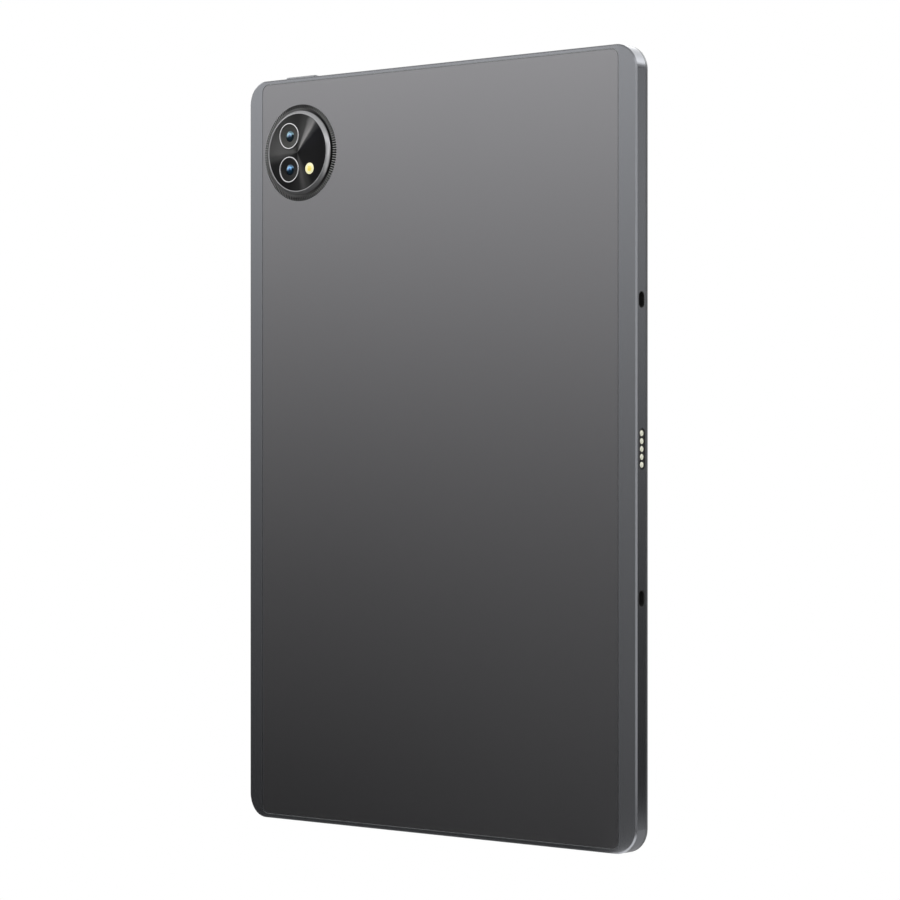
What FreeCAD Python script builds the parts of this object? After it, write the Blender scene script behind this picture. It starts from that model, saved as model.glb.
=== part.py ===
"""An 11-inch tablet computer as an assembly of separate pieces, in millimetres.

It stands upright on its lower short edge.  X runs across the width, Y through the thickness with
the rear cover on +Y and the screen on -Y, and Z up the height.  The origin is the centre of the
lower edge, in the mouth of the charging socket, half way through the body's thickness.
"""
import FreeCAD, Part
import math
import os
import re
import Sketcher

doc = FreeCAD.newDocument("Tablet")
sheet = doc.addObject("Spreadsheet::Sheet", "Sizes")

sizes = {
    # body
    "body_width": 168.4, "body_height": 257.0, "corner_radius": 8.0,
    "rear_face": 3.7, "front_face": 3.7, "wall": 3.2, "rear_chamfer": 0.5, "band_fall": 0.5,
    "seam_level": 1.85, "seam_chamfer": 0.12, "bezel_round": 1.1, "glass_proud": 0.2,
    # rear cover plate and the groove round it
    "groove_side": 6.83, "groove_end": 1.38, "groove_gap": 0.3, "plate_corner": 2.5,
    "plate_thickness": 0.8, "plate_ledge": 2.0, "flange_level": 2.1,
    # screen stack
    "glass_inset": 1.4, "glass_thickness": 0.7, "glass_round": 0.35, "seat_gap": 0.08,
    "layer_gap": 0.05, "gasket_width": 1.6, "screen_gap": 0.4, "panel_thickness": 1.0,
    "guide_thickness": 0.65, "tray_thickness": 0.2, "tray_inset": 0.4,
    "deck_front": 0.8, "deck_thickness": 0.55, "deck_shelf": 1.0, "deck_gap": 0.06,
    # camera island
    "camera_in": 24.7, "camera_down": 26.0, "knurl_radius": 16.7, "knurl_top": 14.75,
    "knurl_height": 0.5, "knurl_count": 120.0, "knurl_depth": 0.28, "knurl_edge": 0.08,
    "notch_inset": 0.85, "notch_reach": 0.2, "rim_radius": 14.55, "rim_inner": 13.22,
    "rim_height": 1.75, "rim_shoulder": 0.75, "rim_crest": 0.3, "disc_drop": 0.15,
    "disc_thickness": 0.6, "fit_gap": 0.05, "lens_offset": 3.7, "lens_rise": 5.8,
    "lens_radius": 4.62, "lens_bore": 3.85, "lens_proud": 0.25, "lens_edge": 0.15, "lens_lip": 0.3,
    "flash_offset": 5.65, "flash_drop": 5.8, "flash_radius": 1.95, "flash_proud": 0.1,
    "flash_round": 0.2, "emitter_side": 2.4, "emitter_corner": 0.3, "emitter_height": 1.3,
    "emitter_gap": 0.1, "module_side": 9.0, "module_corner": 0.6, "module_gap": 0.5,
    "barrel_radius": 3.3, "bracket_wall": 1.1, "bracket_play": 0.1, "bracket_gap": 0.7,
    "bracket_corner": 1.0, "bracket_inner": 0.5,
    # keyboard dock on the side
    "slot_pitch": 94.6, "slot_length": 4.7, "slot_width": 2.4, "slot_depth": 2.6, "slot_level": 0.5,
    "liner": 0.3, "contact_pitch": 2.5, "contact_radius": 0.95, "contact_count": 5.0,
    "insert_length": 13.0, "insert_width": 2.9, "contact_level": 0.2, "contact_sunk": 0.12,
    # keys
    "key_gap": 0.15, "key_level": 0.5, "key_thickness": 2.2, "key_travel": 0.3,
    "power_in": 22.8, "power_length": 14.0, "power_proud": 0.8, "lip": 0.8, "lip_thickness": 0.6,
    "lip_width": 1.1, "lip_gap": 0.15, "key_lift": 0.4, "switch_gap": 0.1, "key_flex_width": 1.3,
    "rocker_down": 36.0, "rocker_length": 22.0, "rocker_proud": 0.6, "switch_side": 2.6,
    "key_corner": 0.8, "power_round": 0.35, "rocker_round": 0.3, "stem_inset": 1.0,
    "power_switch_back": 2.2, "volume_switch_back": 2.3, "switch_corner": 0.4, "switch_in": 3.0,
    "power_flex_back": 2.4, "volume_flex_back": 2.5, "key_flex_thickness": 0.15, "key_flex_past": 2.0,
    # card tray
    "card_down": 64.0, "card_face": 24.0, "card_face_thickness": 1.0, "card_depth": 27.0,
    "card_width": 21.0, "card_thickness": 0.9, "card_gap": 0.15, "pin_hole": 0.45,
    "reader_wall": 0.15, "pin_hole_in": 2.4, "well_length": 15.2, "well_shift": 1.4, "well_margin": 0.8,
    "well_floor": 0.2, "well_corner": 0.8, "well_centre": 0.1, "reader_past": 2.4, "reader_gap": 0.3,
    "lever_width": 1.1, "lever_length": 7.2, "lever_corner": 0.5, "lever_thickness": 0.5,
    "lever_in": 1.1, "lever_drop": 1.8, "lever_hole": 0.45, "lever_pin": 0.4, "lever_pin_length": 1.1,
    "lever_slot": 7.6, "lever_slot_rise": 3.0, "lever_slot_depth": 2.1, "lever_slot_lead": 0.1,
    # charging socket and lower board
    "usb_width": 8.94, "usb_height": 3.26, "usb_depth": 7.3, "usb_wall": 0.3, "usb_level": 0.0,
    "usb_sunk": 0.3, "tongue_width": 6.7, "tongue_thickness": 0.7,
    # boards, cells and the zones they stand in
    "lower_zone": 34.0, "upper_zone": 82.0, "zone_gap": 3.0, "side_margin": 0.5,
    "board_thickness": 0.6, "board_rear": 1.95, "lower_board": 72.0, "cell_gap": 2.0,
    "cell_thickness": 2.4, "tape_margin": 8.0, "cell_floor": 0.05, "camera_clear": 19.0, "board_drop": 29.0,
    "can_height": 0.7, "can_wall": 0.15,
    # loudspeakers
    "speaker_width": 30.0, "speaker_depth": 22.0, "speaker_height": 2.6, "speaker_gap": 1.1,
    "vent_radius": 0.6, "vent_pitch": 2.1, "vent_count": 7.0, "vent_level": 0.9, "mesh": 0.25,
    # front camera and sensors
    "selfie_gap": 0.1, "selfie_side": 4.2, "selfie_radius": 1.6, "sensor_offset": 9.0,
    # screws
    "screw_head": 1.3, "screw_head_thickness": 0.4, "screw_recess": 0.2,
}

for row, (name, value) in enumerate(sizes.items(), start=1):
    sheet.set(f"A{row}", name)
    sheet.set(f"B{row}", str(value))
    sheet.setAlias(f"B{row}", name)
doc.recompute()

ALIAS = re.compile(r"\b(" + "|".join(sizes) + r")\b")


def expr(text):
    """An expression in the sheet's words, written out as the document needs it."""
    return ALIAS.sub(r"Sizes.\1", str(text))


def number(text):
    """The present value of an expression."""
    return float(sheet.evalExpression(expr(text)))


# places that several pieces share
SIDE = "(body_width / 2)"
INNER_SIDE = "(body_width / 2 - wall)"
INNER_TOP = "(body_height - wall)"
MIDDLE = "(body_height / 2)"
FRAME_FRONT = "(glass_proud - front_face)"
GLASS_BACK = "(glass_thickness - front_face)"
PANEL_BACK = f"({GLASS_BACK} + layer_gap + panel_thickness)"
GUIDE_BACK = f"({PANEL_BACK} + layer_gap + guide_thickness)"
DECK_BACK = "(deck_thickness - deck_front)"
PLATE_FLOOR = "(rear_face - plate_thickness)"
TAPE_FLOOR = "(rear_face - plate_thickness - layer_gap)"
OPEN_SIDE = "(body_width / 2 - groove_side - plate_ledge)"
SPEAKER_X = f"({OPEN_SIDE} - speaker_gap - speaker_width / 2)"
CAMERA_X = "(body_width / 2 - camera_in)"
CAMERA_Z = "(body_height - camera_down)"
RIM_TOP = "(rear_face + rim_height)"
DISC_TOP = f"({RIM_TOP} - disc_drop)"
LENS_X = f"({CAMERA_X} + lens_offset)"
LENS_TOP = f"({CAMERA_Z} + lens_rise)"
LENS_LOW = f"({CAMERA_Z} - lens_rise)"
FLASH_X = f"({CAMERA_X} - flash_offset)"
FLASH_Z = f"({CAMERA_Z} - flash_drop)"
POWER_X = "(body_width / 2 - power_in)"
ROCKER_Z = "(body_height - rocker_down)"
CARD_Z = "(body_height - card_down)"
ZONE_TOP = "(body_height - wall - upper_zone)"
ZONE_LOW = "(wall + lower_zone)"
BOARD_FRONT = "(board_rear - board_thickness)"
SELFIE_X = "(body_width / 2 - wall - deck_shelf - selfie_gap - selfie_side / 2)"
SCREEN_BORDER = "(wall + deck_shelf + selfie_gap + selfie_side + screen_gap)"

# which body plane a sketch uses: its offset from that plane is an expression of the span's ends
PLANES = {
    "rear": ("XZ_Plane", lambda low, high: f"-({high})"),   # sketch x = X, y = Z, spans Y
    "side": ("YZ_Plane", lambda low, high: f"{low}"),       # sketch x = Y, y = Z, spans X
    "top": ("XY_Plane", lambda low, high: f"{low}"),        # sketch x = X, y = Y, spans Z
}


class Outline:
    """Closed loops of one sketch, every place and radius bound to the sheet."""

    def __init__(self, sketch):
        self.sketch = sketch

    def fix(self, kind, *where, value):
        index = self.sketch.addConstraint(Sketcher.Constraint(kind, *where, number(value)))
        self.sketch.setExpression(f"Constraints[{index}]", expr(value))

    def place(self, geometry, point, x, y):
        """Hold one point of a curve at x, y."""
        self.fix("DistanceX", -1, 1, geometry, point, value=x)
        self.fix("DistanceY", -1, 1, geometry, point, value=y)

    def disc(self, x, y, radius):
        centre = FreeCAD.Vector(number(x), number(y), 0)
        axis = FreeCAD.Vector(0, 0, 1)
        index = self.sketch.addGeometry(Part.Circle(centre, axis, number(radius)), False)
        self.fix("Radius", index, value=radius)
        self.place(index, 3, x, y)

    def polygon(self, points):
        corners = [FreeCAD.Vector(number(x), number(y), 0) for x, y in points]
        first = self.sketch.GeometryCount
        for start, end in zip(corners, corners[1:] + corners[:1]):
            self.sketch.addGeometry(Part.LineSegment(start, end), False)
        for step in range(len(points)):
            here, after = first + step, first + (step + 1) % len(points)
            self.sketch.addConstraint(Sketcher.Constraint("Coincident", here, 2, after, 1))
            self.place(here, 1, *points[step])

    def rectangle(self, x, y, width, height):
        left, right = f"{x} - ({width}) / 2", f"{x} + ({width}) / 2"
        low, high = f"{y} - ({height}) / 2", f"{y} + ({height}) / 2"
        self.polygon([(left, low), (right, low), (right, high), (left, high)])

    def rounded(self, x, y, width, height, radius):
        """A rectangle with four round corners, each arc held by its centre and radius."""
        half_x, half_y = f"(({width}) / 2 - {radius})", f"(({height}) / 2 - {radius})"
        quarter = [(1, 1, 0), (-1, 1, 90), (-1, -1, 180), (1, -1, 270)]
        arcs, axis = [], FreeCAD.Vector(0, 0, 1)
        for sign_x, sign_y, start in quarter:
            centre_x, centre_y = f"{x} + {sign_x} * {half_x}", f"{y} + {sign_y} * {half_y}"
            centre = FreeCAD.Vector(number(centre_x), number(centre_y), 0)
            circle = Part.Circle(centre, axis, number(radius))
            turn = math.radians(start)
            arc = self.sketch.addGeometry(
                Part.ArcOfCircle(circle, turn, turn + math.pi / 2), False)
            arcs.append((arc, centre_x, centre_y))
        for step, (arc, centre_x, centre_y) in enumerate(arcs):
            following = arcs[(step + 1) % 4][0]
            geometry = self.sketch.Geometry
            line = self.sketch.addGeometry(
                Part.LineSegment(geometry[arc].EndPoint, geometry[following].StartPoint), False)
            self.sketch.addConstraint([
                Sketcher.Constraint("Tangent", arc, 2, line, 1),
                Sketcher.Constraint("Tangent", line, 2, following, 1)])
            self.fix("Radius", arc, value=radius)
            self.place(arc, 3, centre_x, centre_y)

    def oblong(self, x, y, width, height):
        """A slot with full round ends, its long side along y."""
        radius = f"({width}) / 2"
        reach = f"(({height}) - ({width})) / 2"
        axis, half_turn = FreeCAD.Vector(0, 0, 1), math.pi
        ends = []
        for sign, start in ((1, 0.0), (-1, half_turn)):
            centre = FreeCAD.Vector(number(x), number(f"{y} + {sign} * {reach}"), 0)
            circle = Part.Circle(centre, axis, number(radius))
            ends.append(self.sketch.addGeometry(
                Part.ArcOfCircle(circle, start, start + half_turn), False))
        for here, after in (ends, ends[::-1]):
            geometry = self.sketch.Geometry
            line = self.sketch.addGeometry(
                Part.LineSegment(geometry[here].EndPoint, geometry[after].StartPoint), False)
            self.sketch.addConstraint([
                Sketcher.Constraint("Tangent", here, 2, line, 1),
                Sketcher.Constraint("Tangent", line, 2, after, 1)])
        for end, sign in zip(ends, (1, -1)):
            self.place(end, 3, x, f"{y} + {sign} * {reach}")
        self.fix("Radius", ends[0], value=radius)


class Piece:
    """One sub-part, a PartDesign body built up feature by feature."""

    def __init__(self, label):
        self.body = doc.addObject("PartDesign::Body", label)
        self.body.Label = label
        self.label = label
        self.count = 0

    def name(self, kind):
        self.count += 1
        return f"{self.label}_{kind}{self.count}"

    def sketch(self, plane, low, high):
        role, offset = PLANES[plane]
        sketch = self.body.newObject("Sketcher::SketchObject", self.name("sketch"))
        origin = next(item for item in self.body.Origin.OriginFeatures if item.Role == role)
        sketch.AttachmentSupport = (origin, [""])
        sketch.MapMode = "FlatFace"
        sketch.setExpression("AttachmentOffset.Base.z", expr(offset(low, high)))
        return sketch

    def span(self, kind, plane, low, high, draw, taper=None):
        """Add or cut the drawn loops over the span from low to high."""
        sketch = self.sketch(plane, low, high)
        draw(Outline(sketch))
        feature = self.body.newObject(f"PartDesign::{kind}", self.name(kind.lower()))
        feature.Profile = sketch
        feature.Type = "Length"
        feature.Reversed = kind == "Pocket"
        feature.setExpression("Length", expr(f"({high}) - ({low})"))
        if taper:
            feature.setExpression("TaperAngle", expr(taper))
        sketch.Visibility = False
        return self

    def pad(self, plane, low, high, draw, taper=None):
        return self.span("Pad", plane, low, high, draw, taper)

    def pocket(self, plane, low, high, draw):
        return self.span("Pocket", plane, low, high, draw)

    def turned(self, x, z, points):
        """Revolve a radius-and-level outline round an axis along Y through x, z."""
        sketch = self.sketch("top", z, z)
        sketch.setExpression("AttachmentOffset.Base.x", expr(x))
        Outline(sketch).polygon(points)
        feature = self.body.newObject("PartDesign::Revolution", self.name("turn"))
        feature.Profile = sketch
        feature.ReferenceAxis = (sketch, ["V_Axis"])
        feature.Angle = 360
        return self

    def dress(self, kind, size, wanted):
        """Round or bevel the edges of the present shape that pass a test."""
        doc.recompute()
        shape = self.body.Tip.Shape
        edges = [f"Edge{i}" for i, edge in enumerate(shape.Edges, start=1) if wanted(edge)]
        feature = self.body.newObject(f"PartDesign::{kind}", self.name(kind.lower()))
        feature.Base = (self.body.Tip if feature is not self.body.Tip else feature.BaseFeature, edges)
        feature.setExpression("Radius" if kind == "Fillet" else "Size", expr(size))
        return self


def group(label, pieces):
    """Identical separate pieces under one label."""
    cluster = doc.addObject("Part::Compound", label)
    cluster.Label = label
    cluster.Links = [piece.body for piece in pieces]
    return cluster


def plain(label, plane, low, high, draw):
    return Piece(label).pad(plane, low, high, draw)


def level(edge, y):
    """True for an edge that lies in the plane at y."""
    return abs(edge.BoundBox.YMin - y) < 1e-4 and abs(edge.BoundBox.YMax - y) < 1e-4


def body_outline(inset, radius=None):
    """The body's rounded outline, drawn in by an inset."""
    corner = radius or f"(corner_radius - ({inset}))"
    return lambda draw: draw.rounded(
        "0", MIDDLE, f"body_width - 2 * ({inset})", f"body_height - 2 * ({inset})", corner)


def plate_outline(growth):
    """The rear cover's outline, grown outward by an expression."""
    width = f"body_width - 2 * groove_side - groove_gap + 2 * ({growth})"
    height = f"body_height - 2 * groove_end - groove_gap + 2 * ({growth})"
    return lambda draw: draw.rounded("0", MIDDLE, width, height, f"(plate_corner + ({growth}))")


def rear_opening(growth):
    """The opening through the rear flange, grown outward by an expression."""
    return lambda draw: draw.rounded(
        "0", MIDDLE, f"2 * {OPEN_SIDE} + 2 * ({growth})", f"body_height - 2 * wall + 2 * ({growth})",
        "plate_corner")


def rectangle(x, y, width, height):
    return lambda draw: draw.rectangle(x, y, width, height)


def rounded(x, y, width, height, radius):
    return lambda draw: draw.rounded(x, y, width, height, radius)


def disc(x, y, radius):
    return lambda draw: draw.disc(x, y, radius)


def oblong(x, y, width, height):
    return lambda draw: draw.oblong(x, y, width, height)


def each(*shapes):
    """Several loops in one sketch."""
    def draw(outline):
        for shape in shapes:
            shape(outline)
    return draw


def vents(x):
    """A row of round sound holes centred at x, drawn in a top sketch."""
    count = int(sizes["vent_count"])
    return [disc(f"{x} + {step - (count - 1) / 2} * vent_pitch", "vent_level", "vent_radius")
            for step in range(count)]


SPEAKERS = {
    "speaker_lower_left": (f"-{SPEAKER_X}", "low"),
    "speaker_lower_right": (SPEAKER_X, "low"),
    "speaker_upper_left": (f"-{SPEAKER_X}", "high"),
    "speaker_upper_right": (f"({POWER_X} - power_length / 2 - speaker_width / 2 - zone_gap)",
                            "high"),
}


def mid_frame():
    """Metal walls with the chamfered rear band, ending at the bezel seam, and every opening."""
    frame = Piece("mid_frame")
    frame.pad("rear", "-seam_level", "rear_face", body_outline("0", "corner_radius"))
    frame.dress("Chamfer", "seam_chamfer", lambda edge: level(edge, number("-seam_level")))
    groove = f"({SIDE} - groove_side + groove_gap / 2)"
    outside = f"({SIDE} + 1)"
    for sign in (1, -1):
        wedge = [(f"{sign} * {groove}", "rear_face"), (f"{sign} * {outside}", "rear_face + 1"),
                 (f"{sign} * {outside}", f"rear_face - band_fall * ({outside} - {groove})"
                                         f" / ({SIDE} - rear_chamfer - {groove})")]
        frame.pocket("top", "-1", "body_height + 1", lambda draw: draw.polygon(wedge))
    frame.dress("Chamfer", "rear_chamfer", rear_outer_edge)
    frame.pocket("rear", "-seam_level", "-deck_front", body_outline("wall"))
    frame.pocket("rear", "-deck_front", DECK_BACK, body_outline("wall + deck_shelf"))
    frame.pocket("rear", DECK_BACK, "flange_level", body_outline("wall"))
    frame.pocket("rear", "flange_level", TAPE_FLOOR, rear_opening("0"))
    frame.pocket("rear", TAPE_FLOOR, "rear_face", plate_outline("groove_gap"))
    frame.pocket("rear", "-deck_front", DECK_BACK, rectangle(
        "0", "wall + deck_shelf / 2", "usb_width + 2", "deck_shelf + 1"))
    dock_openings(frame)
    edge_openings(frame)
    return frame


def rear_outer_edge(edge):
    """The sharp line where the side walls meet the rear band."""
    box = edge.BoundBox
    low = number("rear_face - 2 * band_fall")
    side = number(SIDE)
    if box.YMin < low:
        return False
    on_wall = max(abs(box.XMin), abs(box.XMax)) > side - number("corner_radius")
    on_end = box.ZMin < 1e-4 or box.ZMax > number("body_height") - 1e-4
    along_side = min(abs(box.XMin), abs(box.XMax)) > side - 1e-4
    corner = on_wall and min(box.ZMin, number("body_height") - box.ZMax) < number("corner_radius")
    inner = on_wall and not along_side and box.ZLength > number("body_height") - 1
    return (on_end or along_side or corner) and not inner and box.DiagonalLength > 1e-3


def front_bezel():
    """Dark moulded ring in front of the metal walls, rounded outside, with the glass's seat."""
    bezel = plain("front_bezel", "rear", FRAME_FRONT, "-seam_level",
                  body_outline("0", "corner_radius"))
    bezel.dress("Fillet", "bezel_round", lambda edge: level(edge, number(FRAME_FRONT)))
    bezel.pocket("rear", FRAME_FRONT, f"{GLASS_BACK} + layer_gap",
                 body_outline("glass_inset - seat_gap"))
    bezel.pocket("rear", GLASS_BACK, "-seam_level", body_outline("wall"))
    return bezel


def dock_openings(frame):
    """Two locating slots and the window for the contacts, in the wall on -X."""
    for sign in (1, -1):
        frame.pocket("side", f"-{SIDE}", f"slot_depth + liner - {SIDE}", oblong(
            "slot_level", f"{MIDDLE} + {sign} * slot_pitch / 2",
            "slot_width + 2 * liner", "slot_length + 2 * liner"))
    frame.pocket("side", f"-{SIDE}", f"-{INNER_SIDE}", oblong(
        "contact_level", MIDDLE, "insert_width + 2 * fit_gap", "insert_length + 2 * fit_gap"))


def edge_openings(frame):
    """Holes for keys, card tray, charging socket, sound and the pin hole's tray."""
    key = "key_thickness + 2 * key_gap"
    frame.pocket("top", INNER_TOP, "body_height", rounded(
        POWER_X, "key_level", "power_length + 2 * key_gap", key, "0.9"))
    frame.pocket("side", INNER_SIDE, SIDE, rounded(
        "key_level", ROCKER_Z, key, "rocker_length + 2 * key_gap", "0.9"))
    frame.pocket("side", f"{SIDE} - card_face_thickness - card_gap", SIDE, oblong(
        "key_level", CARD_Z, "key_thickness + 2 * card_gap", "card_face + 2 * card_gap"))
    frame.pocket("side", INNER_SIDE, f"{SIDE} - card_face_thickness - card_gap", rectangle(
        "key_level", CARD_Z, "card_thickness + 2 * card_gap", "card_width + 2 * card_gap"))
    frame.pocket("top", "0", "wall", rounded(
        "0", "usb_level", "usb_width + 2 * fit_gap", "usb_height + 2 * fit_gap",
        "((usb_height + 2 * fit_gap) / 2 - 0.02)"))
    lower = [hole for x, end in SPEAKERS.values() if end == "low" for hole in vents(x)]
    upper = [hole for x, end in SPEAKERS.values() if end == "high" for hole in vents(x)]
    frame.pocket("top", "0", "wall", each(*lower, disc(
        "(usb_width / 2 + 8)", "vent_level", "vent_radius")))
    frame.pocket("top", INNER_TOP, "body_height", each(*upper, disc(
        "0", "vent_level", "vent_radius")))


def rear_cover():
    """Flat plate in the rear groove, with the camera island's hole."""
    plate = plain("rear_plate", "rear", PLATE_FLOOR, "rear_face", plate_outline("0"))
    plate.pocket("rear", PLATE_FLOOR, "rear_face", disc(CAMERA_X, CAMERA_Z, "rim_radius + fit_gap"))
    tape = plain("plate_tape", "rear", TAPE_FLOOR, PLATE_FLOOR, plate_outline("-0.2"))
    tape.pocket("rear", TAPE_FLOOR, PLATE_FLOOR, rear_opening("0.1"))
    return [plate, tape]


def screen():
    """Cover glass, its bonding frame, panel, light guide, tray and the deck that carries them."""
    glass = plain("cover_glass", "rear", "-front_face", GLASS_BACK, body_outline("glass_inset"))
    glass.dress("Fillet", "glass_round", lambda edge: level(edge, number("-front_face")))
    seat = f"({GLASS_BACK} + layer_gap)"
    gasket = plain("glass_gasket", "rear", GLASS_BACK, seat, body_outline("glass_inset + 0.1"))
    gasket.pocket("rear", GLASS_BACK, seat, body_outline("glass_inset + gasket_width"))
    layers = [("lcd_panel", seat, PANEL_BACK, SCREEN_BORDER),
              ("light_guide", f"{PANEL_BACK} + layer_gap", GUIDE_BACK,
               f"{SCREEN_BORDER} + tray_inset"),
              ("display_tray", f"{GUIDE_BACK} + layer_gap",
               f"{GUIDE_BACK} + layer_gap + tray_thickness", SCREEN_BORDER)]
    stack = [plain(label, "rear", low, high, body_outline(inset, "1.5"))
             for label, low, high, inset in layers]
    deck = plain("mid_plate", "rear", "-deck_front", DECK_BACK,
                 body_outline("wall + deck_shelf + deck_gap"))
    deck.pocket("rear", "-deck_front", DECK_BACK, each(
        rectangle("0", f"wall + deck_shelf + {USB_CLEAR} / 2", "usb_width + 2", f"{USB_CLEAR} + 1"),
        rectangle(SELFIE_X, MIDDLE, "selfie_side + 1", "selfie_side + 1")))
    return [glass, gasket, *stack, deck]


USB_CLEAR = "(usb_sunk + usb_depth + 1 - wall - deck_shelf)"


def camera_island():
    """Knurled ring, polished rim, black disc, two lenses and the flash window."""
    ring = Piece("knurled_ring").turned(CAMERA_X, CAMERA_Z, [
        ("rim_radius + fit_gap", "rear_face"), ("knurl_radius", "rear_face"),
        ("knurl_radius", "rear_face + knurl_edge"), ("knurl_top", "rear_face + knurl_height"),
        ("rim_radius + fit_gap", "rear_face + knurl_height")])
    notch = Piece.sketch(ring, "rear", "rear_face", "rear_face + knurl_height + notch_reach")
    notch.setExpression("AttachmentOffset.Base.x", expr(CAMERA_X))
    notch.setExpression("AttachmentOffset.Base.y", expr(CAMERA_Z))
    Outline(notch).polygon([("knurl_top + notch_inset", "0"),
                            ("knurl_radius + notch_reach", "-knurl_depth"),
                            ("knurl_radius + notch_reach", "knurl_depth")])
    cut = ring.body.newObject("PartDesign::Pocket", "knurled_ring_notch")
    cut.Profile, cut.Type, cut.Reversed = notch, "Length", True
    cut.setExpression("Length", expr("knurl_height + notch_reach / 2"))
    doc.recompute()
    turn = ring.body.newObject("PartDesign::PolarPattern", "knurled_ring_notches")
    turn.Originals = [cut]
    turn.Axis = (notch, ["N_Axis"])
    turn.Angle = 360
    turn.setExpression("Occurrences", expr("knurl_count"))
    ring.body.Tip = turn
    rim = Piece("polished_rim").turned(CAMERA_X, CAMERA_Z, [
        ("rim_inner", f"{PLATE_FLOOR}"), ("rim_radius", f"{PLATE_FLOOR}"),
        ("rim_radius", "rear_face + rim_shoulder"), ("rim_inner + 2 * rim_crest", RIM_TOP),
        ("rim_inner + rim_crest", RIM_TOP), ("rim_inner", f"{DISC_TOP} + fit_gap")])
    floor = f"({DISC_TOP} - disc_thickness)"
    disc_radius = "rim_inner - fit_gap"
    holes = each(disc(LENS_X, LENS_TOP, "lens_radius + fit_gap"),
                 disc(LENS_X, LENS_LOW, "lens_radius + fit_gap"),
                 disc(FLASH_X, FLASH_Z, "flash_radius + fit_gap"))
    cover = plain("camera_disc", "rear", floor, DISC_TOP, disc(CAMERA_X, CAMERA_Z, disc_radius))
    cover.pocket("rear", floor, DISC_TOP, holes)
    base = plain("camera_base", "rear", PLATE_FLOOR, f"{floor} - layer_gap",
                 disc(CAMERA_X, CAMERA_Z, disc_radius))
    base.pocket("rear", PLATE_FLOOR, f"{floor} - layer_gap", holes)
    pieces = [ring, rim, cover, base]
    for which, height in (("upper", LENS_TOP), ("lower", LENS_LOW)):
        pieces += lens(which, height)
    flash = plain("flash_window", "rear", floor, f"{DISC_TOP} + flash_proud",
                  disc(FLASH_X, FLASH_Z, "flash_radius"))
    flash.dress("Fillet", "flash_round", lambda edge: level(edge, number(f"{DISC_TOP} + flash_proud")))
    emitter = plain(
        "flash_emitter", "rear", f"{floor} - emitter_gap - emitter_height", f"{floor} - emitter_gap",
        rounded(FLASH_X, FLASH_Z, "emitter_side", "emitter_side", "emitter_corner"))
    return pieces + [flash, emitter]


def lens(which, height):
    """Trim ring, front glass and the camera module behind it."""
    floor = f"({DISC_TOP} - disc_thickness)"
    proud = f"({DISC_TOP} + lens_proud)"
    ring = Piece(f"lens_ring_{which}").turned(LENS_X, height, [
        ("lens_bore", floor), ("lens_radius", floor), ("lens_radius", f"{proud} - lens_edge"),
        ("lens_radius - lens_edge", proud), ("lens_bore + lens_lip", proud), ("lens_bore", f"{DISC_TOP}")])
    glass = plain(f"lens_glass_{which}", "rear", f"{floor} + lens_edge", f"{DISC_TOP} - fit_gap",
                  disc(LENS_X, height, "lens_bore - fit_gap"))
    module = plain(f"rear_camera_{which}", "rear", "0", f"{PLATE_FLOOR} - module_gap", rounded(
        LENS_X, height, "module_side", "module_side", "module_corner"))
    module.pad("rear", f"{PLATE_FLOOR} - module_gap", f"{floor} + fit_gap",
               disc(LENS_X, height, "barrel_radius"))
    return [ring, glass, module]


def camera_bracket():
    """Stamped tray that holds both rear modules to the deck."""
    low, high = "0", f"{PLATE_FLOOR} - bracket_gap"
    inner = "(module_side + 2 * bracket_play)"
    outer = f"({inner} + 2 * bracket_wall)"
    bracket = plain("camera_bracket", "rear", low, high, rounded(
        LENS_X, CAMERA_Z, outer, f"2 * lens_rise + {outer}", "bracket_corner"))
    bracket.pocket("rear", low, high, rounded(
        LENS_X, CAMERA_Z, inner, f"2 * lens_rise + {inner}", "bracket_inner"))
    return bracket


def dock():
    """Slot liners, contact carrier, five contacts and the small board behind them."""
    liners = []
    for count, sign in enumerate((1, -1), start=1):
        centre = f"{MIDDLE} + {sign} * slot_pitch / 2"
        liner = plain(f"liner{count}", "side", f"-{SIDE} + 0.05", f"slot_depth + liner - {SIDE}",
                      oblong("slot_level", centre, "slot_width + 2 * liner - 0.04",
                             "slot_length + 2 * liner - 0.04"))
        liner.pocket("side", f"-{SIDE} + 0.05", f"slot_depth - {SIDE}",
                     oblong("slot_level", centre, "slot_width", "slot_length"))
        liners.append(liner)
    places = [f"{MIDDLE} + {step - (sizes['contact_count'] - 1) / 2} * contact_pitch"
              for step in range(int(sizes["contact_count"]))]
    face = f"contact_sunk - {SIDE}"
    carrier = plain("contact_carrier", "side", face, f"-{INNER_SIDE}", oblong(
        "contact_level", MIDDLE, "insert_width", "insert_length"))
    carrier.pocket("side", face, f"-{INNER_SIDE}", each(
        *[disc("contact_level", z, "contact_radius + 0.04") for z in places]))
    pins = []
    for count, z in enumerate(places, start=1):
        pin = plain(f"contact{count}", "side", f"{face} - 0.07", f"-{INNER_SIDE}",
                    disc("contact_level", z, "contact_radius"))
        pin.dress("Fillet", "0.15", lambda edge: edge.BoundBox.XMax < number(f"{face} - 0.06"))
        pins.append(pin)
    board = plain("dock_board", "side", f"0.05 - {INNER_SIDE}", f"0.55 - {INNER_SIDE}", rectangle(
        "contact_level + 0.55", MIDDLE, "1.4", "insert_length + 6"))
    return [group("slot_liners", liners), carrier, group("dock_contacts", pins), board]


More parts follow.
